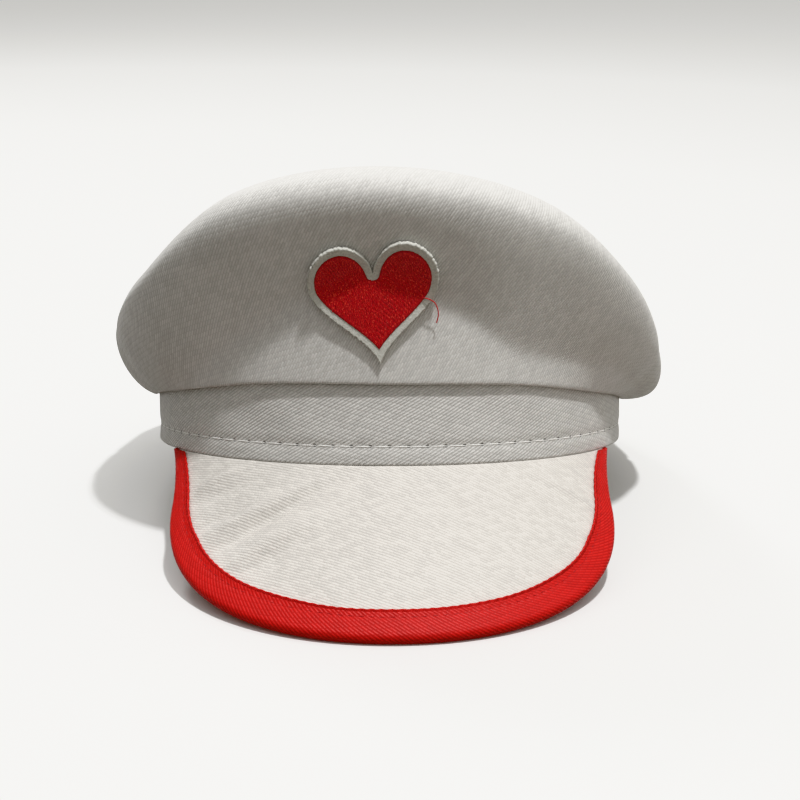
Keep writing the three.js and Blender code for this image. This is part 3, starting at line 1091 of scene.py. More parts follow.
@dataclass
class PeakBinding:
    """The red bias binding, folded over the peak's edge and stitched near its inner edges."""

    peak: Peak
    columns: int = 620
    bend_steps: int = 13
    rim_steps: int = 5
    stitch_steps: int = 420
    flange_shares: tuple[float, ...] = (1.0, 0.9, 0.8, 0.7, 0.6, 0.5, 0.35, 0.18)
    rim_share: float = 0.4
    stitch_inset: float = 2.5
    stitch_sink: float = 0.6
    stitch_length: float = 3.4
    scallop: float = 0.09
    wander: float = 0.28
    groove: float = 0.3
    groove_width: float = 0.6
    taper: float = 7.0
    taper_length: float = 60.0
    wander_length: float = 14.0
    pull_share: float = 0.35
    visible_below: float = -1.5

    def section(self) -> Array:
        """The binding's section across the board's edge.

        Returns:
            Places inwards from the edge, and heights above the board's upper face.
        """
        peak = self.peak
        middle = -peak.board / 2
        inside = peak.fold - peak.binding_cloth
        reach = peak.binding_width - peak.fold
        outward = np.linspace(math.pi / 2, -math.pi / 2, self.bend_steps)
        outer = np.stack([-peak.fold * np.cos(outward), middle + peak.fold * np.sin(outward)], axis=-1)
        inner = np.stack([-inside * np.cos(outward), middle + inside * np.sin(outward)], axis=-1)[::-1]
        flange = np.array(self.flange_shares) * reach
        half = peak.binding_cloth / 2
        tip = np.linspace(math.pi / 2, -math.pi / 2, self.rim_steps)
        rim = np.stack([reach + half * np.cos(tip), half * np.sin(tip)], axis=-1)
        centre = inside + half
        upper_rim = rim + [0, middle + centre]
        lower_rim = rim + [0, middle - centre]
        upper = np.stack([flange, np.full_like(flange, middle + peak.fold)], axis=-1)
        lower = np.stack([flange[::-1], np.full_like(flange, middle - peak.fold)], axis=-1)
        back_up = np.stack([flange[::-1], np.full_like(flange, middle + inside)], axis=-1)
        back_down = np.stack([flange, np.full_like(flange, middle - inside)], axis=-1)
        ahead = [upper[1:], outer, lower[:-1], lower_rim[::-1]]
        return np.concatenate([*ahead, back_down[1:], inner, back_up[:-1], upper_rim[::-1]])

    def narrowing(self, run: Array) -> Array:
        """How much narrower the binding's legs are towards its two ends.

        Args:
            run: lengths along the board's edge, in rising order.

        Returns:
            Lengths in millimetres.
        """
        from_end = np.minimum(run, run[-1] - run)
        return self.taper * np.clip(1 - from_end / self.taper_length, 0, 1)

    def build(self, shop: Workshop, finish: bpy.types.Material) -> bpy.types.Object:
        """Makes the binding.

        Args:
            shop: makes the mesh.
            finish: the red satin.

        Returns:
            The binding.
        """
        peak = self.peak
        thetas = peak.even_thetas(-2 * peak.fold, self.columns)
        edge, inwards = peak.outline(thetas)
        section = self.section()
        run = run_length(edge)
        across = np.broadcast_to(section[:, 0], (len(thetas), len(section)))
        lift = np.broadcast_to(section[:, 1], across.shape)
        rim_start = self.rim_share * peak.binding_width
        near_rim = np.clip((across - rim_start) / rim_start, 0, 1)
        pulse = np.cos(TURN * run / self.stitch_length)[:, None]
        wander = self.wander * waves(run / self.wander_length, 0.4)[:, None]
        reach = peak.binding_width - peak.fold
        line = reach - self.stitch_inset
        dent = np.exp(-(((section[:, 0] - line) / self.groove_width) ** 2))
        dent = dent * (1 - self.pull_share + self.pull_share * pulse)
        shrink = self.narrowing(run)[:, None] * np.clip(across / reach, 0, 1)
        across = across + near_rim * (self.scallop * pulse + wander) - shrink
        outside = np.abs(lift + peak.board / 2) > peak.fold - 0.2
        lift = lift - np.sign(lift + peak.board / 2) * np.where(outside, self.groove * dent, 0)
        x = edge[:, None, 0] + inwards[:, None, 0] * across
        y = edge[:, None, 1] + inwards[:, None, 1] * across
        grid = peak.bend(x, y, lift)
        grid[..., 2] = np.minimum(grid[..., 2], peak.under_band)
        uv = np.stack(np.broadcast_arrays(run[:, None], run_length(section)[None, :]), axis=-1)
        return shop.loft("peak_binding_cloth", grid, uv, finish, wrap=False)

    def stitch_path(self, side: Side) -> tuple[Array, Array]:
        """The line of stitches on one face of the binding.

        Args:
            side: the face.

        Returns:
            The line's points and the directions out of the cloth.
        """
        peak = self.peak
        thetas = peak.even_thetas(-2 * peak.fold, self.stitch_steps)
        edge, inwards = peak.outline(thetas)
        run = run_length(edge)
        reach = peak.binding_width - peak.fold
        across = (reach - self.stitch_inset) * (1 - self.narrowing(run)[:, None] / reach)
        lift = -peak.board / 2 + side.value * (peak.fold - self.stitch_sink * self.groove)
        at = edge + inwards * across
        path = peak.bend(at[:, 0], at[:, 1], np.full(len(thetas), lift))
        out = peak.bend(at[:, 0], at[:, 1], np.full(len(thetas), lift + side.value)) - path
        low = path[:, 2] < self.visible_below
        return path[low], unit(out[low])


@dataclass
class Badge:
    """The embroidered heart: a stiff backing with a rim, raised thread work and one loose end."""

    crown: Crown
    width: float = 43.0
    height: float = 40.5
    rise: float = 26.5
    offset: float = -4.5
    tilt: float = math.radians(4.8)
    border: float = 2.6
    lift: float = 1.2
    clearance: float = 0.3
    middle_rise: float = 1.0
    felt: float = 1.6
    ragged: float = 0.2
    ragged_length: float = 1.3
    slow_length: float = 2.9
    felt_rim: float = 0.4
    ground_lift: float = 1.35
    ground: float = 0.5
    ground_rim: float = 0.5
    ground_overlap: float = 0.3
    ground_ragged: float = 0.05
    columns: int = 420
    rim_shares: tuple[float, ...] = (0.0, 0.006, 0.018, 0.035)
    first_ring: float = 0.06
    rings: int = 26
    loose_route: tuple[tuple[float, float, float], ...] = (
        (14.5, 1.5, 1.9),
        (15.6, 1.2, 2.3),
        (17.2, 0.6, 2.6),
        (18.6, -0.6, 2.3),
        (19.4, -2.6, 1.8),
        (19.6, -4.6, 1.5),
        (19.3, -6.2, 1.2),
        (18.9, -7.6, 0.9),
    )

    def outline(self, turn: Array) -> Array:
        """The heart's outline, from -1 to 1 both ways, at angles round from its notch."""
        lobes = 13 * np.cos(turn) - 5 * np.cos(2 * turn) - 2 * np.cos(3 * turn) - np.cos(4 * turn)
        return np.stack([np.sin(turn) ** 3, (lobes + 2.55) / 14.5], axis=-1)

    def inner_edge(self, turn: Array, inset: float) -> Array:
        """The outline moved inwards by the same distance all round.

        Args:
            turn: angles round the outline.
            inset: the distance in millimetres.

        Returns:
            Places on the flat badge.
        """
        scale = np.array([self.width / 2, self.height / 2])
        rim = self.outline(np.linspace(0, TURN, 720, endpoint=False)) * scale
        middle = np.array([0.0, self.middle_rise])
        rays = self.outline(turn) * scale - middle
        low, high = np.zeros(len(turn)), np.ones(len(turn))
        for _ in range(24):
            share = (low + high) / 2
            at = middle + rays * share[:, None]
            gap = np.linalg.norm(at[:, None] - rim[None], axis=-1).min(axis=1)
            low = np.where(gap > inset, share, low)
            high = np.where(gap > inset, high, share)
        return middle + rays * low[:, None]

    def place(self, x: Array, y: Array, lift: Array) -> tuple[Array, Array]:
        """Lays places on the flat badge over the crown's front.

        Args:
            x: places to the side on the badge.
            y: places upwards on it.
            lift: heights above the face that the badge turns to the cloth.

        Returns:
            The points and the outward directions there.
        """
        side = math.cos(self.tilt) * x - math.sin(self.tilt) * y
        up = math.sin(self.tilt) * x + math.cos(self.tilt) * y
        at, out = self.crown.front_place(self.offset + side, self.rise + up)
        stand_off = self.clearance + self.lift * (2 * side / self.width) ** 2
        return at + out * (stand_off + lift)[..., None], out

    def layer(
        self,
        shop: Workshop,
        name: str,
        inset: float,
        base: float,
        thickness: float,
        rim_radius: float,
        ragged: float,
        finish: bpy.types.Material,
    ) -> bpy.types.Object:
        """Makes one heart-shaped layer with a rounded and slightly ragged rim.

        Args:
            shop: makes the mesh.
            name: the piece's name.
            inset: how far its edge lies inside the badge's.
            base: height of its lower face.
            thickness: its thickness.
            rim_radius: how far in from the edge it reaches its full thickness.
            ragged: how far the cut edge wanders.
            finish: its material.

        Returns:
            The layer.
        """
        turn = -np.linspace(0, TURN, self.columns, endpoint=False)
        edge = self.inner_edge(turn, inset)
        run = run_length(edge)
        middle = np.array([0.0, self.middle_rise])
        size = np.linalg.norm(edge - middle, axis=1)
        fine, slow = (TURN * run / step for step in (self.ragged_length, self.slow_length))
        wander = ragged * (waves(fine, 0.9) + waves(slow, 2.2))
        edge = middle + (edge - middle) * (1 - wander / size)[:, None]
        depth = np.concatenate([self.rim_shares, np.linspace(self.first_ring, 1, self.rings)])
        x = edge[:, None, 0] * (1 - depth)
        y = self.middle_rise + (edge[:, None, 1] - self.middle_rise) * (1 - depth)
        rim = np.clip(depth * self.width / 2 / rim_radius, 0, 1)
        half = thickness / 2 * np.sqrt(1 - (1 - rim) ** 3) * np.ones_like(x)
        centre = base + thickness / 2
        outer, _ = self.place(x, y, centre + half)
        inner, _ = self.place(x, y, centre - half)
        uv = np.stack([x, y], axis=-1)
        return shop.shell(name, outer, inner, uv, finish, wrap=True, pole=True)

    def loose_thread(self) -> tuple[Array, Array]:
        """The route of the loose end at the badge's lower right, and the outward direction along it."""
        return self.place(*np.array(self.loose_route).T)


class Nodes:
    """Adds nodes to one tree and joins them."""

    def __init__(self, tree: bpy.types.NodeTree) -> None:
        """Takes the tree that the nodes go into."""
        self.tree = tree

    def feed(self, sockets: Any, values: dict[Any, Any]) -> None:
        """Gives sockets their values, or joins other nodes' outputs to them.

        Args:
            sockets: the inputs of a node.
            values: for each input, by name or number, a value or another node's output.
        """
        for name, value in values.items():
            if isinstance(value, bpy.types.NodeSocket):
                self.tree.links.new(value, sockets[name])
            else:
                sockets[name].default_value = value

    def add(self, kind: str, inputs: dict[Any, Any] | None = None, **settings: Any) -> bpy.types.Node:
        """Adds one node.

        Args:
            kind: the node's type.
            inputs: for each input, by name or number, a value or another node's output.
            **settings: the node's own settings.

        Returns:
            The node.
        """
        node = self.tree.nodes.new(kind)
        for name, value in settings.items():
            setattr(node, name, value)
        self.feed(node.inputs, inputs or {})
        return node

    def maths(self, operation: str, *values: Any) -> bpy.types.NodeSocket:
        """Adds a sum on numbers and returns its result."""
        return self.add("ShaderNodeMath", dict(enumerate(values)), operation=operation).outputs[0]

    def vector(self, **parts: Any) -> bpy.types.NodeSocket:
        """Adds a vector made of its X, Y and Z parts and returns it."""
        return self.add("ShaderNodeCombineXYZ", parts).outputs[0]

    def scaled(self, vector: Any, factor: Any) -> bpy.types.NodeSocket:
        """Adds a vector or a colour times a number and returns it."""
        return self.add("ShaderNodeVectorMath", {0: vector, "Scale": factor}, operation="SCALE").outputs[0]

    def noise(self, place: Any, scale: Any, detail: float, roughness: float = 0.5) -> Any:
        """Adds a noise texture and returns its outputs."""
        inputs = {"Vector": place, "Scale": scale, "Detail": detail, "Roughness": roughness}
        return self.add("ShaderNodeTexNoise", inputs).outputs

    def bump(self, strength: float, distance: float, height: Any) -> bpy.types.NodeSocket:
        """Adds a bump from a height and returns the normal."""
        inputs = {"Strength": strength, "Distance": distance, "Height": height}
        return self.add("ShaderNodeBump", inputs).outputs[0]

    def blend(self, factor: Any, first: Any, second: Any) -> bpy.types.NodeSocket:
        """Adds a mix of two colours and returns it."""
        return self.add("ShaderNodeMix", {0: factor, 6: first, 7: second}, data_type="RGBA").outputs[2]

    def ramp(
        self, value: Any, low: Any, high: Any, start: float = 0.0, end: float = 1.0
    ) -> bpy.types.NodeSocket:
        """Adds a clamped, smooth change from start to end as the value goes from low to high."""
        inputs = {"Value": value, "From Min": low, "From Max": high, "To Min": start, "To Max": end}
        return self.add("ShaderNodeMapRange", inputs, interpolation_type="SMOOTHSTEP").outputs[0]


def new_material(name: str) -> tuple[bpy.types.Material, Nodes, bpy.types.NodeInputs]:
    """Makes a plain material.

    Args:
        name: its name.

    Returns:
        The material, its nodes and the inputs of its shader.
    """
    material = bpy.data.materials.new(name)
    material.use_nodes = True
    return material, Nodes(material.node_tree), material.node_tree.nodes["Principled BSDF"].inputs


class ShaderGroup:
    """A group of shader nodes with named inputs and outputs, which several finishes share."""

    inputs: tuple[str, ...] = ()
    outputs: tuple[str, ...] = ()

    def __init__(self, name: str) -> None:
        """Makes the group.

        Args:
            name: its name.
        """
        self.tree = bpy.data.node_groups.new(name, "ShaderNodeTree")
        for way, titles in (("INPUT", self.inputs), ("OUTPUT", self.outputs)):
            for title in titles:
                kind = "NodeSocketVector" if title == "Place" else "NodeSocketFloat"
                self.tree.interface.new_socket(title, in_out=way, socket_type=kind)
        self.nodes = Nodes(self.tree)
        self.given = self.nodes.add("NodeGroupInput").outputs
        result = self.nodes.add("NodeGroupOutput")
        self.nodes.feed(result.inputs, self.wire())

    def wire(self) -> dict[str, bpy.types.NodeSocket]:
        """Builds the group's nodes and returns what it puts out, by name."""
        return {}

    def use(self, nodes: Nodes, inputs: dict[str, Any]) -> bpy.types.bpy_prop_collection:
        """Adds the group to a material.

        Args:
            nodes: the material's nodes.
            inputs: a value or an output for each of the group's inputs.

        Returns:
            The outputs of the group there.
        """
        return nodes.add("ShaderNodeGroup", inputs, node_tree=self.tree).outputs


class TwillGroup(ShaderGroup):
    """Diagonal ribs of a satin twill, with the floats of single threads in each rib."""

    inputs = ("Place", "Angle", "Pitch")
    outputs = ("Height", "Gap", "Tone")
    waver_scale: float = 55.0
    waver: float = 0.9
    float_length: float = 2.6
    stagger: float = 0.38
    dip_depth: float = 0.6
    dip_sharpness: float = 5.0
    gap_sharpness: float = 1.6
    end_depth: float = 0.7
    end_sharpness: float = 8.0

    def wire(self) -> dict[str, bpy.types.NodeSocket]:
        """Builds the ribs from the place on the flat cloth.

        Returns:
            The ribs' height, the gaps between them and the tone of each float.
        """
        n = self.nodes
        turned = n.add(
            "ShaderNodeVectorRotate",
            {"Vector": self.given["Place"], "Angle": n.maths("MULTIPLY", self.given["Angle"], -1.0)},
            rotation_type="Z_AXIS",
        ).outputs[0]
        apart = n.add("ShaderNodeSeparateXYZ", {0: turned}).outputs
        drift = n.noise(self.given["Place"], self.waver_scale, 2.0)[0]
        shift = n.maths("MULTIPLY", n.maths("SUBTRACT", drift, 0.5), self.waver)
        phase = n.maths("ADD", n.maths("DIVIDE", apart["Y"], self.given["Pitch"]), shift)
        rib = self._wave(phase)
        number = n.maths("FLOOR", n.maths("ADD", phase, 0.5))
        along = n.maths("DIVIDE", apart["X"], n.maths("MULTIPLY", self.given["Pitch"], self.float_length))
        step = n.maths("ADD", along, n.maths("MULTIPLY", number, self.stagger))
        cross = self._wave(step)
        dip = n.maths("MULTIPLY", n.maths("POWER", cross, self.dip_sharpness), self.dip_depth)
        between = n.maths("POWER", n.maths("SUBTRACT", 1.0, rib), self.gap_sharpness)
        end = n.maths("MULTIPLY", n.maths("POWER", cross, self.end_sharpness), self.end_depth)
        seed = n.vector(X=number, Y=n.maths("FLOOR", step))
        random = n.add("ShaderNodeTexWhiteNoise", {"Vector": seed}, noise_dimensions="2D").outputs["Value"]
        return {
            "Height": n.maths("MULTIPLY", rib, n.maths("SUBTRACT", 1.0, dip)),
            "Gap": n.maths("MAXIMUM", between, end),
            "Tone": n.maths("SUBTRACT", random, 0.5),
        }

    def _wave(self, phase: bpy.types.NodeSocket) -> bpy.types.NodeSocket:
        """A wave from 0 to 1 with its tops at whole numbers."""
        wave = self.nodes.maths("COSINE", self.nodes.maths("MULTIPLY", phase, TURN))
        return self.nodes.maths("MULTIPLY_ADD", wave, 0.5, 0.5)


class MottleGroup(ShaderGroup):
    """Soft, slow changes of tone at random over the cloth, and much finer ones."""

    inputs = ("Place", "Scale")
    outputs = ("Tone", "Fine")
    finer: float = 26.0

    def wire(self) -> dict[str, bpy.types.NodeSocket]:
        """Builds a slow and a fine noise.

        Returns:
            The slow and the fine changes of tone.
        """
        n = self.nodes
        slow = n.noise(self.given["Place"], self.given["Scale"], 4.0, 0.55)[0]
        fine_scale = n.maths("MULTIPLY", self.given["Scale"], self.finer)
        fine = n.noise(self.given["Place"], fine_scale, 3.0, 0.7)[0]
        return {"Tone": n.maths("SUBTRACT", slow, 0.5), "Fine": n.maths("SUBTRACT", fine, 0.5)}


class NeedleGroup(ShaderGroup):
    """The small holes that a line of stitches leaves at even steps along a seam."""

    inputs = ("Place", "Line", "Step", "Size")
    outputs = ("Hole",)
    dark_share: float = 0.35

    def wire(self) -> dict[str, bpy.types.NodeSocket]:
        """Builds a row of soft dots along one line of the flat cloth.

        Returns:
            How deep in a hole each place lies.
        """
        n = self.nodes
        apart = n.add("ShaderNodeSeparateXYZ", {0: self.given["Place"]}).outputs
        steps = n.maths("DIVIDE", apart["X"], self.given["Step"])
        nearest = n.maths("SUBTRACT", steps, n.maths("ROUND", steps))
        along = n.maths("MULTIPLY", nearest, self.given["Step"])
        across = n.maths("SUBTRACT", apart["Y"], self.given["Line"])
        square = n.maths("ADD", n.maths("MULTIPLY", along, along), n.maths("MULTIPLY", across, across))
        distance = n.maths("DIVIDE", n.maths("SQRT", square), self.given["Size"])
        return {"Hole": n.ramp(distance, self.dark_share, 1.0, 1.0, 0.0)}


class FibreGroup(ShaderGroup):
    """Fine loose fibres, for felt and for sewing thread, and small bright flecks of painted glint."""

    inputs = ("Place", "Scale")
    outputs = ("Height", "Tone", "Glint")
    bend: float = 0.0012
    finer: float = 2.4
    glint_scale: float = 2300.0
    glint_from: float = 0.54
    glint_to: float = 0.7

    def wire(self) -> dict[str, bpy.types.NodeSocket]:
        """Builds streaky noise from a place that another noise bends, and small bright flecks of painted glint.

        Returns:
            The fibres' height and tone, and the flecks of painted glint.
        """
        n = self.nodes
        offset = n.scaled(n.noise(self.given["Place"], self.given["Scale"], 2.0)["Color"], self.bend)
        bent = n.add("ShaderNodeVectorMath", {0: self.given["Place"], 1: offset}, operation="ADD").outputs[0]
        streak = n.noise(bent, n.maths("MULTIPLY", self.given["Scale"], self.finer), 4.0, 0.75)[0]
        # Painted glint: a fine noise picks out bright flecks that stand in for the threads' highlights.
        flecks = n.noise(self.given["Place"], self.glint_scale, 1.0)[0]
        return {
            "Height": streak,
            "Tone": n.maths("SUBTRACT", streak, 0.5),
            "Glint": n.ramp(flecks, self.glint_from, self.glint_to),
        }


@dataclass(frozen=True)
class SatinFinish:
    """A satin twill: its colour, the lie of its ribs, painted shade in their grooves, and its stitch holes with
    painted shade.
    """

    name: str
    slot: str
    colour: tuple[float, float, float]
    groove_shade_colour: tuple[float, float, float]
    angle: float
    pitch: float = 0.93
    groove_shade_share: float = 0.42
    roughness: float = 0.5
    sheen: float = 0.25
    bump: float = 0.10
    tone: float = 0.10
    float_tone_and_sheen: float = 0.15
    fine_tone: float = 0.05
    fine_height: float = 0.3
    gap_roughness: float = 0.2
    mottle_scale: float = 28.0
    hole_line: float = 0.0
    hole_step: float = 0.0
    hole_size: float = 0.8
    hole_shade: float = 0.72
    hole_depth: float = 2.2

    def build(self, groups: dict[str, ShaderGroup]) -> bpy.types.Material:
        """Makes the material.

        Args:
            groups: the shared groups by name.

        Returns:
            The material.
        """
        material, nodes, shader = new_material(self.name)
        place = nodes.add("ShaderNodeUVMap", uv_map=CLOTH_UV).outputs[0]
        lie = {"Place": place, "Angle": math.radians(self.angle), "Pitch": self.pitch * MM}
        twill = groups["twill"].use(nodes, lie)
        mottle = groups["mottle"].use(nodes, {"Place": place, "Scale": self.mottle_scale})
        # Painted shade: the grooves between the ribs and the ends of the floats are mixed towards a darker
        # colour.
        gap = nodes.maths("MULTIPLY", twill["Gap"], self.groove_shade_share)
        colour = nodes.blend(gap, (*self.colour, 1), (*self.groove_shade_colour, 1))
        shade = nodes.maths("MULTIPLY_ADD", mottle["Tone"], self.tone, 1.0)
        # Each float gets a random tone, partly painted sheen: some floats are made lighter as if they caught
        # the light.
        shade = nodes.maths("MULTIPLY_ADD", twill["Tone"], self.float_tone_and_sheen, shade)
        shade = nodes.maths("MULTIPLY_ADD", mottle["Fine"], self.fine_tone, shade)
        height = nodes.maths("MULTIPLY_ADD", mottle["Fine"], self.fine_height, twill["Height"])
        if self.hole_step:
            sizes = {"Line": self.hole_line * MM, "Step": self.hole_step * MM, "Size": self.hole_size * MM}
            hole = groups["needle"].use(nodes, {"Place": place, **sizes})["Hole"]
            # Painted shade: the colour is darkened inside each needle hole.
            shade = nodes.maths("MULTIPLY", shade, nodes.maths("MULTIPLY_ADD", hole, -self.hole_shade, 1.0))
            height = nodes.maths("MULTIPLY_ADD", hole, -self.hole_depth, height)
        nodes.feed(shader, {
            "Base Color": nodes.scaled(colour, shade),
            "Roughness": nodes.maths("MULTIPLY_ADD", twill["Gap"], self.gap_roughness, self.roughness),
            "Normal": nodes.bump(0.9, self.bump * MM, height),
            "Sheen Weight": self.sheen,
            "Sheen Roughness": 0.4,
            "Specular IOR Level": 0.4,
        })
        return material


@dataclass(frozen=True)
class FibreFinish:
    """Felt or sewing thread: its colour, its gloss, how fine its fibres are and how much painted glint it has.
    """

    name: str
    slot: str
    colour: tuple[float, float, float]
    roughness: float
    scale: float = 1400.0
    tone: float = 0.2
    bump: float = 0.05
    sheen: float = 0.2
    glint: float = 0.0
    glint_colour: tuple[float, float, float] = (1.0, 1.0, 1.0)

    def build(self, groups: dict[str, ShaderGroup]) -> bpy.types.Material:
        """Makes the material.

        Args:
            groups: the shared groups by name.

        Returns:
            The material.
        """
        material, nodes, shader = new_material(self.name)
        place = nodes.add("ShaderNodeTexCoord").outputs["Object"]
        fibre = groups["fibre"].use(nodes, {"Place": place, "Scale": self.scale})
        tint = nodes.scaled(self.colour, nodes.maths("MULTIPLY_ADD", fibre["Tone"], self.tone, 1.0))
        # Painted glint: bright flecks are mixed into the colour in place of the threads' highlights.
        if self.glint:
            share = nodes.maths("MULTIPLY", fibre["Glint"], self.glint)
            tint = nodes.blend(share, tint, (*self.glint_colour, 1))
        nodes.feed(shader, {
            "Base Color": tint,
            "Roughness": self.roughness,
            "Normal": nodes.bump(0.5, self.bump * MM, fibre["Height"]),
            "Sheen Weight": self.sheen,
        })
        return material


@dataclass(frozen=True)
class StrandStyle:
    """How one kind of stitch is made: its thread, its arch and how much the stitches differ."""

    radius: float
    length: float
    arch: float
    length_spread: float = 0.05
    turn_spread: float = 0.03
    lift_spread: float = 0.0
    sides: int = 6
    steps: int = 4
    seed: int = 1

    def values(self) -> dict[str, float]:
        """The strand tree's inputs by name, with its lengths in metres."""
        return {
            "Radius": self.radius * MM,
            "Length": self.length * MM,
            "Arch": self.arch * MM,
            "Length Spread": self.length_spread,
            "Turn Spread": self.turn_spread,
            "Lift Spread": self.lift_spread * MM,
            "Sides": self.sides,
            "Steps": self.steps,
            "Seed": self.seed,
        }


class StrandTree:
    """A Geometry Nodes tree that lays one short arched strand of thread on every point of a mesh."""

    fields: tuple[tuple[str, str], ...] = (
        ("Radius", "NodeSocketFloat"),
        ("Length", "NodeSocketFloat"),
        ("Arch", "NodeSocketFloat"),
        ("Length Spread", "NodeSocketFloat"),
        ("Turn Spread", "NodeSocketFloat"),
        ("Lift Spread", "NodeSocketFloat"),
        ("Sides", "NodeSocketInt"),
        ("Steps", "NodeSocketInt"),
        ("Seed", "NodeSocketInt"),
        ("Finish", "NodeSocketMaterial"),
    )

    def __init__(self) -> None:
        """Makes the tree with its named inputs."""
        self.tree = bpy.data.node_groups.new("Strands", "GeometryNodeTree")
        face = self.tree.interface
        face.new_socket("Points", in_out="INPUT", socket_type="NodeSocketGeometry")
        face.new_socket("Strands", in_out="OUTPUT", socket_type="NodeSocketGeometry")
        self.keys = {
            title: face.new_socket(title, in_out="INPUT", socket_type=kind).identifier
            for title, kind in self.fields
        }
        self._wire()

    def _wire(self) -> None:
        """Builds the tree: an arched strand, turned by each point's own directions, realised as one mesh."""
        n = Nodes(self.tree)
        given = n.add("NodeGroupInput").outputs
        result = n.add("NodeGroupOutput")
        half = n.maths("MULTIPLY", given["Length"], 0.5)
        back = n.maths("MULTIPLY", half, -1.0)
        low = n.maths("MULTIPLY", given["Arch"], -1.0)
        bend = {
            "Resolution": given["Steps"],
            "Start": n.vector(X=back, Z=low),
            "Middle": n.vector(Z=given["Arch"]),
            "End": n.vector(X=half, Z=low),
        }
        route = n.add("GeometryNodeCurveQuadraticBezier", bend).outputs[0]
        size = {"Resolution": given["Sides"], "Radius": given["Radius"]}
        ring = n.add("GeometryNodeCurvePrimitiveCircle", size).outputs[0]
        body = {"Curve": route, "Profile Curve": ring, "Fill Caps": True}
        strand = n.add("GeometryNodeCurveToMesh", body).outputs[0]
        along, out, reach = (
            n.add("GeometryNodeInputNamedAttribute", {"Name": title}, data_type=kind).outputs[0]
            for title, kind in (("along", "FLOAT_VECTOR"), ("out", "FLOAT_VECTOR"), ("reach", "FLOAT"))
        )
        lengthwise = n.add("FunctionNodeAlignRotationToVector", {"Vector": along}, axis="X").outputs[0]
        upright = n.add(
            "FunctionNodeAlignRotationToVector",
            {"Rotation": lengthwise, "Vector": out},
            axis="Z",
            pivot_axis="X",
        ).outputs[0]
        twist = n.vector(Z=self._spread(n, given, "Turn Spread", 1))
        local = n.add("FunctionNodeEulerToRotation", {0: twist}).outputs[0]
        facing = n.add(
            "FunctionNodeRotateRotation", {"Rotation": upright, "Rotate By": local}, rotation_space="LOCAL"
        ).outputs[0]
        longer = n.maths("ADD", self._spread(n, given, "Length Spread", 2), 1.0)
        stretch = n.vector(X=n.maths("MULTIPLY", reach, longer), Y=1.0, Z=1.0)
        lift = n.scaled(out, self._spread(n, given, "Lift Spread", 3))
        raised = n.add("GeometryNodeSetPosition", {"Geometry": given["Points"], "Offset": lift}).outputs[0]
        copies = {"Points": raised, "Instance": strand, "Rotation": facing, "Scale": stretch}
        spread = n.add("GeometryNodeInstanceOnPoints", copies).outputs[0]
        whole = n.add("GeometryNodeRealizeInstances", {0: spread}).outputs[0]
        smooth = n.add("GeometryNodeSetShadeSmooth", {"Geometry": whole}).outputs[0]
        look = {"Geometry": smooth, "Material": given["Finish"]}
        n.feed(result.inputs, {0: n.add("GeometryNodeSetMaterial", look).outputs[0]})

    @staticmethod
    def _spread(n: Nodes, given: Any, title: str, offset: int) -> bpy.types.NodeSocket:
        """Adds a random number for each point, within plus or minus one of the tree's inputs.

        Args:
            n: adds the nodes.
            given: the tree's inputs.
            title: the input's name.
            offset: tells the numbers of one point apart.

        Returns:
            The number's socket.
        """
        lowest = n.maths("MULTIPLY", given[title], -1.0)
        seed = n.maths("ADD", given["Seed"], float(offset))
        inputs = {"Seed": seed, 2: lowest, 3: given[title]}
        return n.add("FunctionNodeRandomValue", inputs, data_type="FLOAT").outputs[1]

    def lay(
        self,
        name: str,
        placement: Placement,
        points: Array,
        along: Array,
        out: Array,
        style: StrandStyle,
        finish: bpy.types.Material,
        reach: Array | None = None,
    ) -> bpy.types.Object:
        """Lays a strand on each point and returns the plain mesh.

        Args:
            name: the piece's name.
            placement: where the cap lies.
            points: the strands' middles in the cap's frame.
            along: the direction of each strand.
            out: the direction out of the cloth at each.
            style: the thread and the arch.
            finish: the thread's material.
            reach: each strand's share of the style's length, or none for whole ones.

        Returns:
            One object with all the strands.
        """
        data = bpy.data.meshes.new(f"{name}_points")
        data.from_pydata(placement.place(points).tolist(), [], [])
        for title, values in (("along", placement.turn(along)), ("out", placement.turn(out))):
            field = data.attributes.new(title, "FLOAT_VECTOR", "POINT")
            field.data.foreach_set("vector", values.astype(np.float32).ravel())
        shares = np.ones(len(points)) if reach is None else reach
        field = data.attributes.new("reach", "FLOAT", "POINT")
        field.data.foreach_set("value", shares.astype(np.float32))
        carrier = stand(f"{name}_points", data)
        modifier = carrier.modifiers.new("Strands", "NODES")
        modifier.node_group = self.tree
        for title, value in {**style.values(), "Finish": finish}.items():
            modifier[self.keys[title]] = value
        bpy.context.view_layer.update()
        seen = carrier.evaluated_get(bpy.context.evaluated_depsgraph_get())
        mesh = bpy.data.meshes.new_from_object(seen)
        mesh.name = name
        mesh.materials.clear()
        mesh.materials.append(finish)
        mesh.polygons.foreach_set("material_index", np.zeros(len(mesh.polygons), np.int32))
        carrier.modifiers.remove(modifier)
        bpy.data.objects.remove(carrier)
        bpy.data.meshes.remove(data)
        return stand(name, mesh)


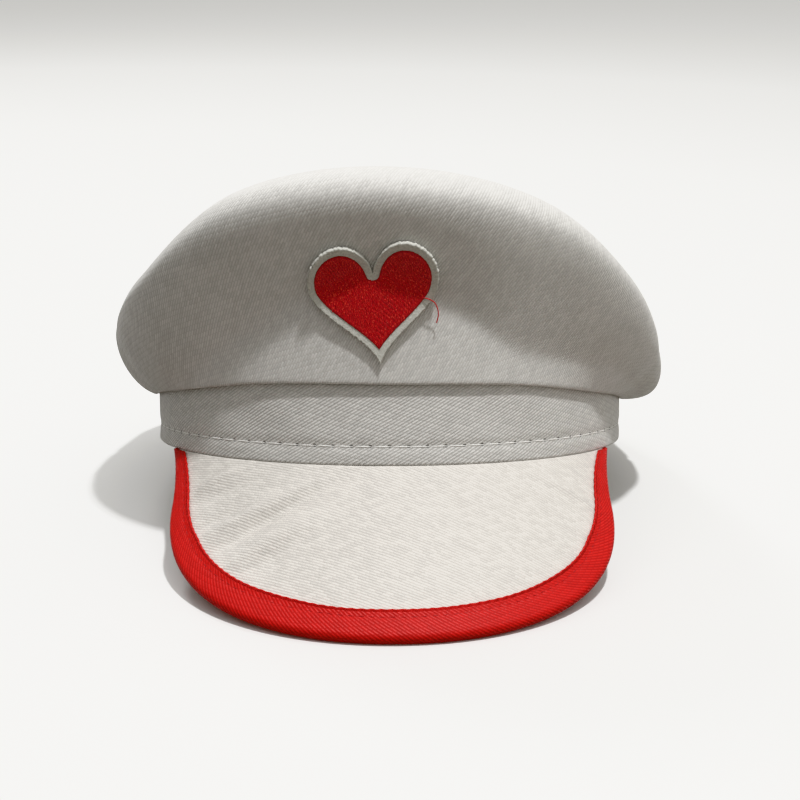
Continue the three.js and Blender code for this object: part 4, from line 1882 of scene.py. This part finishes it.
@dataclass
class Sewing:
    """The stitches and the embroidery threads."""

    strands: StrandTree
    placement: Placement
    band_step: float = 6.4
    band_thread: StrandStyle = StrandStyle(radius=0.2, length=5.9, arch=0.2, steps=8, seed=11)
    binding_thread: StrandStyle = StrandStyle(radius=0.12, length=2.6, arch=0.1, seed=23)
    fill_thread: StrandStyle = StrandStyle(
        radius=0.2,
        length=2.4,
        arch=0.22,
        length_spread=0.2,
        turn_spread=0.16,
        lift_spread=0.09,
        sides=5,
        seed=37,
    )
    fill_share: float = 0.8
    fill_row: float = 0.34
    first_row: float = 0.1
    fill_turn: float = math.radians(95)
    fill_stagger: float = 0.37
    fill_overlap: float = 0.35
    shortest: float = 0.8
    edge_gap: float = 0.1
    loose_radius: float = 0.2
    loose_sides: int = 6
    loose_steps: int = 40

    @staticmethod
    def spaced(path: Array, out: Array, step: float, offset: float) -> tuple[Array, Array, Array]:
        """Points at even steps along a path.

        Args:
            path: the path's points.
            out: the direction out of the cloth at each.
            step: the step.
            offset: length along the path of the first point.

        Returns:
            The points, the directions along the path and the directions out of the cloth.
        """
        length = run_length(path)
        at = np.arange(offset, length[-1] - step / 2, step)

        def read(values: Array, where: Array) -> Array:
            """The values at lengths along the path."""
            return np.stack([np.interp(where, length, values[:, k]) for k in range(3)], axis=-1)

        along = read(path, at + 0.5) - read(path, at - 0.5)
        return read(path, at), unit(along), unit(read(out, at))

    def band_row(self, band: Band, finish: bpy.types.Material) -> bpy.types.Object:
        """Makes the topstitching over the band's hem.

        Args:
            band: the band.
            finish: the thread's material.

        Returns:
            The stitches.
        """
        half = float(band.arc_length(np.array([math.pi]))[0])
        offset = (half + self.band_step / 2) % self.band_step
        row = self.spaced(*band.stitch_path(), self.band_step, offset)
        return self.strands.lay("band_topstitch", self.placement, *row, self.band_thread, finish)

    def binding_row(self, binding: PeakBinding, side: Side, finish: bpy.types.Material) -> bpy.types.Object:
        """Makes the stitches on one face of the binding.

        Args:
            binding: the binding.
            side: the face.
            finish: the thread's material.

        Returns:
            The stitches.
        """
        row = self.spaced(*binding.stitch_path(side), binding.stitch_length, binding.stitch_length / 2)
        name = f"binding_stitch_{side.name.lower()}"
        return self.strands.lay(name, self.placement, *row, self.binding_thread, finish)

    def fill_threads(self, edge: Array, direction: Array, aside: Array) -> tuple[Array, Array]:
        """Lays out the short threads of a filled shape, row by row.

        Args:
            edge: the shape's outline.
            direction: the threads' direction.
            aside: the direction from row to row.

        Returns:
            The threads' middles, and their lengths as shares of the style's.
        """
        along_edge, across_edge = edge @ direction, edge @ aside
        rows = np.arange(across_edge.min() + self.first_row, across_edge.max(), self.fill_row)
        following = np.roll(across_edge, -1)
        usual, shortest = self.fill_share * self.fill_thread.length, self.shortest
        places, reaches = [], []
        for number, row in enumerate(rows):
            crossing = (across_edge - row) * (following - row) < 0
            share = (row - across_edge[crossing]) / (following - across_edge)[crossing]
            hits = np.sort(along_edge[crossing] + share * (np.roll(along_edge, -1) - along_edge)[crossing])
            for start, end in zip(hits[::2], hits[1::2]):
                count = max(1, int(round((end - start) / usual)))
                shift = (self.fill_stagger * number) % 1.0
                cuts = start + (end - start) * (np.arange(count + 1) + shift - 0.5) / count
                cuts = cuts[(cuts > start + shortest) & (cuts < end - shortest)]
                cuts = np.concatenate([[start], cuts, [end]])
                for left, right in zip(cuts, cuts[1:]):
                    places.append(direction * (left + right) / 2 + aside * row)
                    reaches.append((right - left + self.fill_overlap) / self.fill_thread.length)
        return np.array(places), np.array(reaches)

    def heart_fill(self, badge: Badge, finish: bpy.types.Material) -> bpy.types.Object:
        """Makes the rows of short satin threads that fill the heart.

        Args:
            badge: the badge.
            finish: the thread's material.

        Returns:
            The threads.
        """
        turn = np.linspace(0, TURN, 400, endpoint=False)
        edge = badge.inner_edge(turn, badge.border + self.edge_gap)
        direction = np.array([math.cos(self.fill_turn), math.sin(self.fill_turn)])
        flat, reaches = self.fill_threads(edge, direction, np.array([-direction[1], direction[0]]))
        lift = np.full(len(flat), badge.ground_lift + badge.ground)
        points, out = badge.place(*flat.T, lift)
        ahead, _ = badge.place(*(flat + 0.2 * direction).T, lift)
        along = unit(ahead - points)
        return self.strands.lay(
            "badge_fill", self.placement, points, along, out, self.fill_thread, finish, reaches
        )

    def loose_end(self, shop: Workshop, badge: Badge, finish: bpy.types.Material) -> bpy.types.Object:
        """Makes the loose thread end at the badge's lower right.

        Args:
            shop: makes the mesh.
            badge: the badge.
            finish: the thread's material.

        Returns:
            The thread end.
        """
        route, out = badge.loose_thread()
        share = np.linspace(0, len(route) - 1, self.loose_steps)
        whole = np.floor(share).astype(int)
        before, here, after, beyond = (route[np.clip(whole + k, 0, len(route) - 1)] for k in (-1, 0, 1, 2))
        t = (share - whole)[:, None]
        path = cubic(here, (after - before) / 2, after, (beyond - here) / 2, t)
        along = unit(np.gradient(path, axis=0))
        side = unit(np.cross(along, np.broadcast_to(out[0], along.shape)))
        up = np.cross(side, along)
        ring = np.linspace(0, TURN, self.loose_sides, endpoint=False)
        round_it = side[:, None] * np.cos(ring)[:, None] + up[:, None] * np.sin(ring)[:, None]
        grid = path[:, None] + self.loose_radius * round_it
        uv = np.stack(np.broadcast_arrays(share[:, None], ring[None, :]), axis=-1)
        return shop.loft("badge_loose_thread", grid[:, ::-1], uv, finish, wrap=False)


@dataclass(frozen=True)
class SoftLight:
    """One square soft light: its place, what it faces, its size in metres and its power."""

    name: str
    place: tuple[float, float, float]
    facing: tuple[float, float, float]
    size: float
    power: float

    def build(self) -> None:
        """Adds the light to the scene."""
        data = bpy.data.lights.new(self.name, "AREA")
        data.size = self.size
        data.energy = self.power
        light = stand(self.name, data)
        light.location = self.place
        aim = Vector(self.facing) - Vector(self.place)
        light.rotation_euler = aim.to_track_quat("-Z", "Y").to_euler()


@dataclass
class Studio:
    """The set: a pale floor, soft lights and the photograph's camera, whose place is in the cap's frame."""

    placement: Placement
    lights: tuple[SoftLight, ...] = (
        SoftLight("key_light", (0.24, -0.36, 1.5), (0.0, 0.0, 0.06), 0.08, 16.2),
        SoftLight("top_light", (-0.6, 0.9, 1.25), (0.0, 0.0, 0.06), 0.4, 8.0),
    )
    floor_tone: tuple[float, float, float] = (0.88, 0.88, 0.875)
    floor_reach: float = 12.0
    sky: tuple[float, float, float] = (0.82, 0.815, 0.795)
    haze: tuple[float, float, float] = (0.36, 0.35, 0.325)
    ground: tuple[float, float, float] = (0.12, 0.1, 0.07)
    backdrop: tuple[float, float, float] = (0.8, 0.8, 0.79)
    side_tilt: float = 0.35
    horizon: float = 0.08
    camera_place: tuple[float, float, float] = (0.0, -620.0, 74.9)
    camera_aim: tuple[float, float, float] = (0.0, 0.0, 13.4)
    lens: float = 72.5
    shift: float = 0.0131

    def floor(self) -> bpy.types.Object:
        """Makes the floor. The cloth takes no light from it, so that the shade under the crown stays.

        Returns:
            The floor.
        """
        half = self.floor_reach
        points = [(-half, -half, 0), (half, -half, 0), (half, half, 0), (-half, half, 0)]
        data = bpy.data.meshes.new("floor")
        data.from_pydata(points, [], [(0, 1, 2, 3)])
        material, nodes, shader = new_material("pale_floor")
        nodes.feed(shader, {"Base Color": (*self.floor_tone, 1), "Roughness": 0.8, "Specular IOR Level": 0.1})
        data.materials.append(material)
        piece = stand("floor", data)
        piece.visible_diffuse = False
        return piece

    def soft_tent(self) -> bpy.types.World:
        """Makes the light of a white tent: strongest from above, a little from one side, weak from below.

        Returns:
            The world.
        """
        world = bpy.data.worlds.new("soft_tent")
        world.use_nodes = True
        nodes = Nodes(world.node_tree)
        way = nodes.add("ShaderNodeTexCoord").outputs["Generated"]
        apart = nodes.add("ShaderNodeSeparateXYZ", {0: way}).outputs
        tent = nodes.blend(nodes.maths("MAXIMUM", apart["Z"], 0.0), (*self.haze, 1), (*self.sky, 1))
        above = nodes.ramp(apart["Z"], -self.horizon, self.horizon)
        tent = nodes.blend(above, (*self.ground, 1), tent)
        light = nodes.scaled(tent, nodes.maths("MULTIPLY_ADD", apart["X"], self.side_tilt, 1.0))
        seen = nodes.add("ShaderNodeLightPath").outputs["Is Camera Ray"]
        shown = nodes.blend(seen, light, (*self.backdrop, 1))
        nodes.feed(world.node_tree.nodes["Background"].inputs, {"Color": shown})
        return world

    def build(self) -> None:
        """Adds the floor, the lights, the world and the camera."""
        self.floor()
        for light in self.lights:
            light.build()
        scene = bpy.context.scene
        scene.world = self.soft_tent()
        scene.view_settings.view_transform = "Khronos PBR Neutral"
        data = bpy.data.cameras.new("camera")
        data.lens = self.lens
        data.sensor_width = 36
        data.shift_x = self.shift
        data.clip_start = 0.01
        camera = stand("camera", data)
        place, target = (self.placement.matrix @ Vector(p) for p in (self.camera_place, self.camera_aim))
        camera.location = place
        camera.rotation_euler = (target - place).to_track_quat("-Z", "Y").to_euler()
        scene.camera = camera


class Cap:
    """The whole cap: its pieces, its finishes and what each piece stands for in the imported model."""

    def __init__(self, record: dict[str, Any]) -> None:
        """Sets up the sub-assemblies and makes the finishes.

        Args:
            record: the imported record, which says how the cap lies.
        """
        self.band = Band()
        self.crown = Crown(self.band)
        self.peak = Peak(self.band)
        self.binding = PeakBinding(self.peak)
        self.badge = Badge(self.crown)
        mount_reach = self.band.back_reach - self.band.rim_mount_inset
        self.placement = Placement.from_rim(record, mount_reach)
        self.shop = Workshop(self.placement)
        self.sewing = Sewing(StrandTree(), self.placement)
        self.finishes = self._finishes()

    def _finishes(self) -> dict[str, bpy.types.Material]:
        """Makes the materials, and notes each one's slot.

        Returns:
            The materials by name.
        """
        groups: dict[str, ShaderGroup] = {
            "twill": TwillGroup("twill"),
            "mottle": MottleGroup("mottle"),
            "needle": NeedleGroup("needle"),
            "fibre": FibreGroup("fibre"),
        }
        white = (0.76, 0.75, 0.73)
        # shade, deep and the peak's second colour are painted shade for the grooves between the twill's ribs.
        shade = (0.40, 0.39, 0.37)
        red = (0.62, 0.02, 0.018)
        deep = (0.27, 0.005, 0.005)
        hem_line = self.band.hem * (math.pi / 2 - 1) + self.band.stitch_height
        finishes = (
            SatinFinish("crown_satin", "white_satin", white, shade, 58),
            SatinFinish("top_satin", "white_satin", white, shade, 50),
            SatinFinish(
                "band_satin", "white_satin", white, shade, 31, pitch=0.96, groove_shade_share=0.6, bump=0.13,
                hole_line=hem_line, hole_step=self.sewing.band_step,
            ),
            SatinFinish("peak_satin", "white_satin", (0.74, 0.71, 0.67), (0.46, 0.43, 0.4), 22, pitch=0.95),
            SatinFinish("binding_satin", "red_satin", red, deep, 36, pitch=1.0, sheen=0.0, groove_shade_share=0.5),
            FibreFinish("badge_felt", "white_felt", (0.68, 0.68, 0.63), 0.95, 560.0, 0.9, 0.8),
            FibreFinish("white_sewing", "white_satin", (0.9, 0.89, 0.87), 0.6),
            FibreFinish("red_sewing", "red_satin", (0.34, 0.006, 0.008), 0.5),
            FibreFinish("red_ground", "red_thread", (0.28, 0.003, 0.008), 0.6, tone=0.4),
            # The embroidery's bright flecks are painted glints.
            FibreFinish(
                "red_embroidery", "red_thread", (0.5, 0.006, 0.012), 0.38, 1200.0, 0.6,
                glint=0.75, glint_colour=(1.0, 0.16, 0.13),
            ),
        )
        self.slots = {finish.name: finish.slot for finish in finishes}
        return {finish.name: finish.build(groups) for finish in finishes}

    def add(self, piece: bpy.types.Object, *nodes: str) -> None:
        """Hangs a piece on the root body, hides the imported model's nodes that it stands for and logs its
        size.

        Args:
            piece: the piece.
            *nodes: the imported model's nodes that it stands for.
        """
        if nodes:
            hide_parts(*nodes)
        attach(piece, "root")
        triangles = sum(len(p.vertices) - 2 for p in piece.data.polygons)
        lowest = min(v.co.z for v in piece.data.vertices) / MM
        LOG.info(
            "%s: %d vertices, %d triangles, lowest %.1f mm",
            piece.name, len(piece.data.vertices), triangles, lowest,
        )

    def build(self) -> None:
        """Makes every piece of the cap."""
        look = self.finishes
        self.add(self.band.build(self.shop, look["band_satin"]), "band")
        seam, cloth = self.crown.side_seam, look["crown_satin"]
        for node, start, end in (("crown_front", -seam, seam), ("crown_back", seam, TURN - seam)):
            self.add(self.crown.side_panel(self.shop, f"{node}_cloth", start, end, cloth), node)
        self.add(self.crown.top_panel(self.shop, look["top_satin"]), "crown_top")
        self.add(self.peak.build(self.shop, look["peak_satin"]), "peak")
        self.add(self.binding.build(self.shop, look["binding_satin"]), "peak_binding")
        badge = self.badge
        felt = badge.layer(
            self.shop, "badge_felt_heart", 0.0, 0.0, badge.felt, badge.felt_rim,
            badge.ragged, look["badge_felt"],
        )
        self.add(felt, "badge_backing")
        inset = badge.border - badge.ground_overlap
        ground = badge.layer(
            self.shop, "badge_ground", inset, badge.ground_lift, badge.ground, badge.ground_rim,
            badge.ground_ragged, look["red_ground"],
        )
        self.add(ground, "badge_embroidery")
        self.add(self.sewing.heart_fill(badge, look["red_embroidery"]))
        self.add(self.sewing.loose_end(self.shop, badge, look["red_embroidery"]))
        self.add(self.sewing.band_row(self.band, look["white_sewing"]))
        for side in Side:
            self.add(self.sewing.binding_row(self.binding, side, look["red_sewing"]))


def main() -> None:
    """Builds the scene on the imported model."""
    logging.basicConfig(level=logging.INFO, format="%(name)s: %(message)s")
    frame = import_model()
    cap = Cap(frame["record"])
    cap.build()
    Studio(cap.placement).build()
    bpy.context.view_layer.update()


if __name__ == "__main__":
    main()
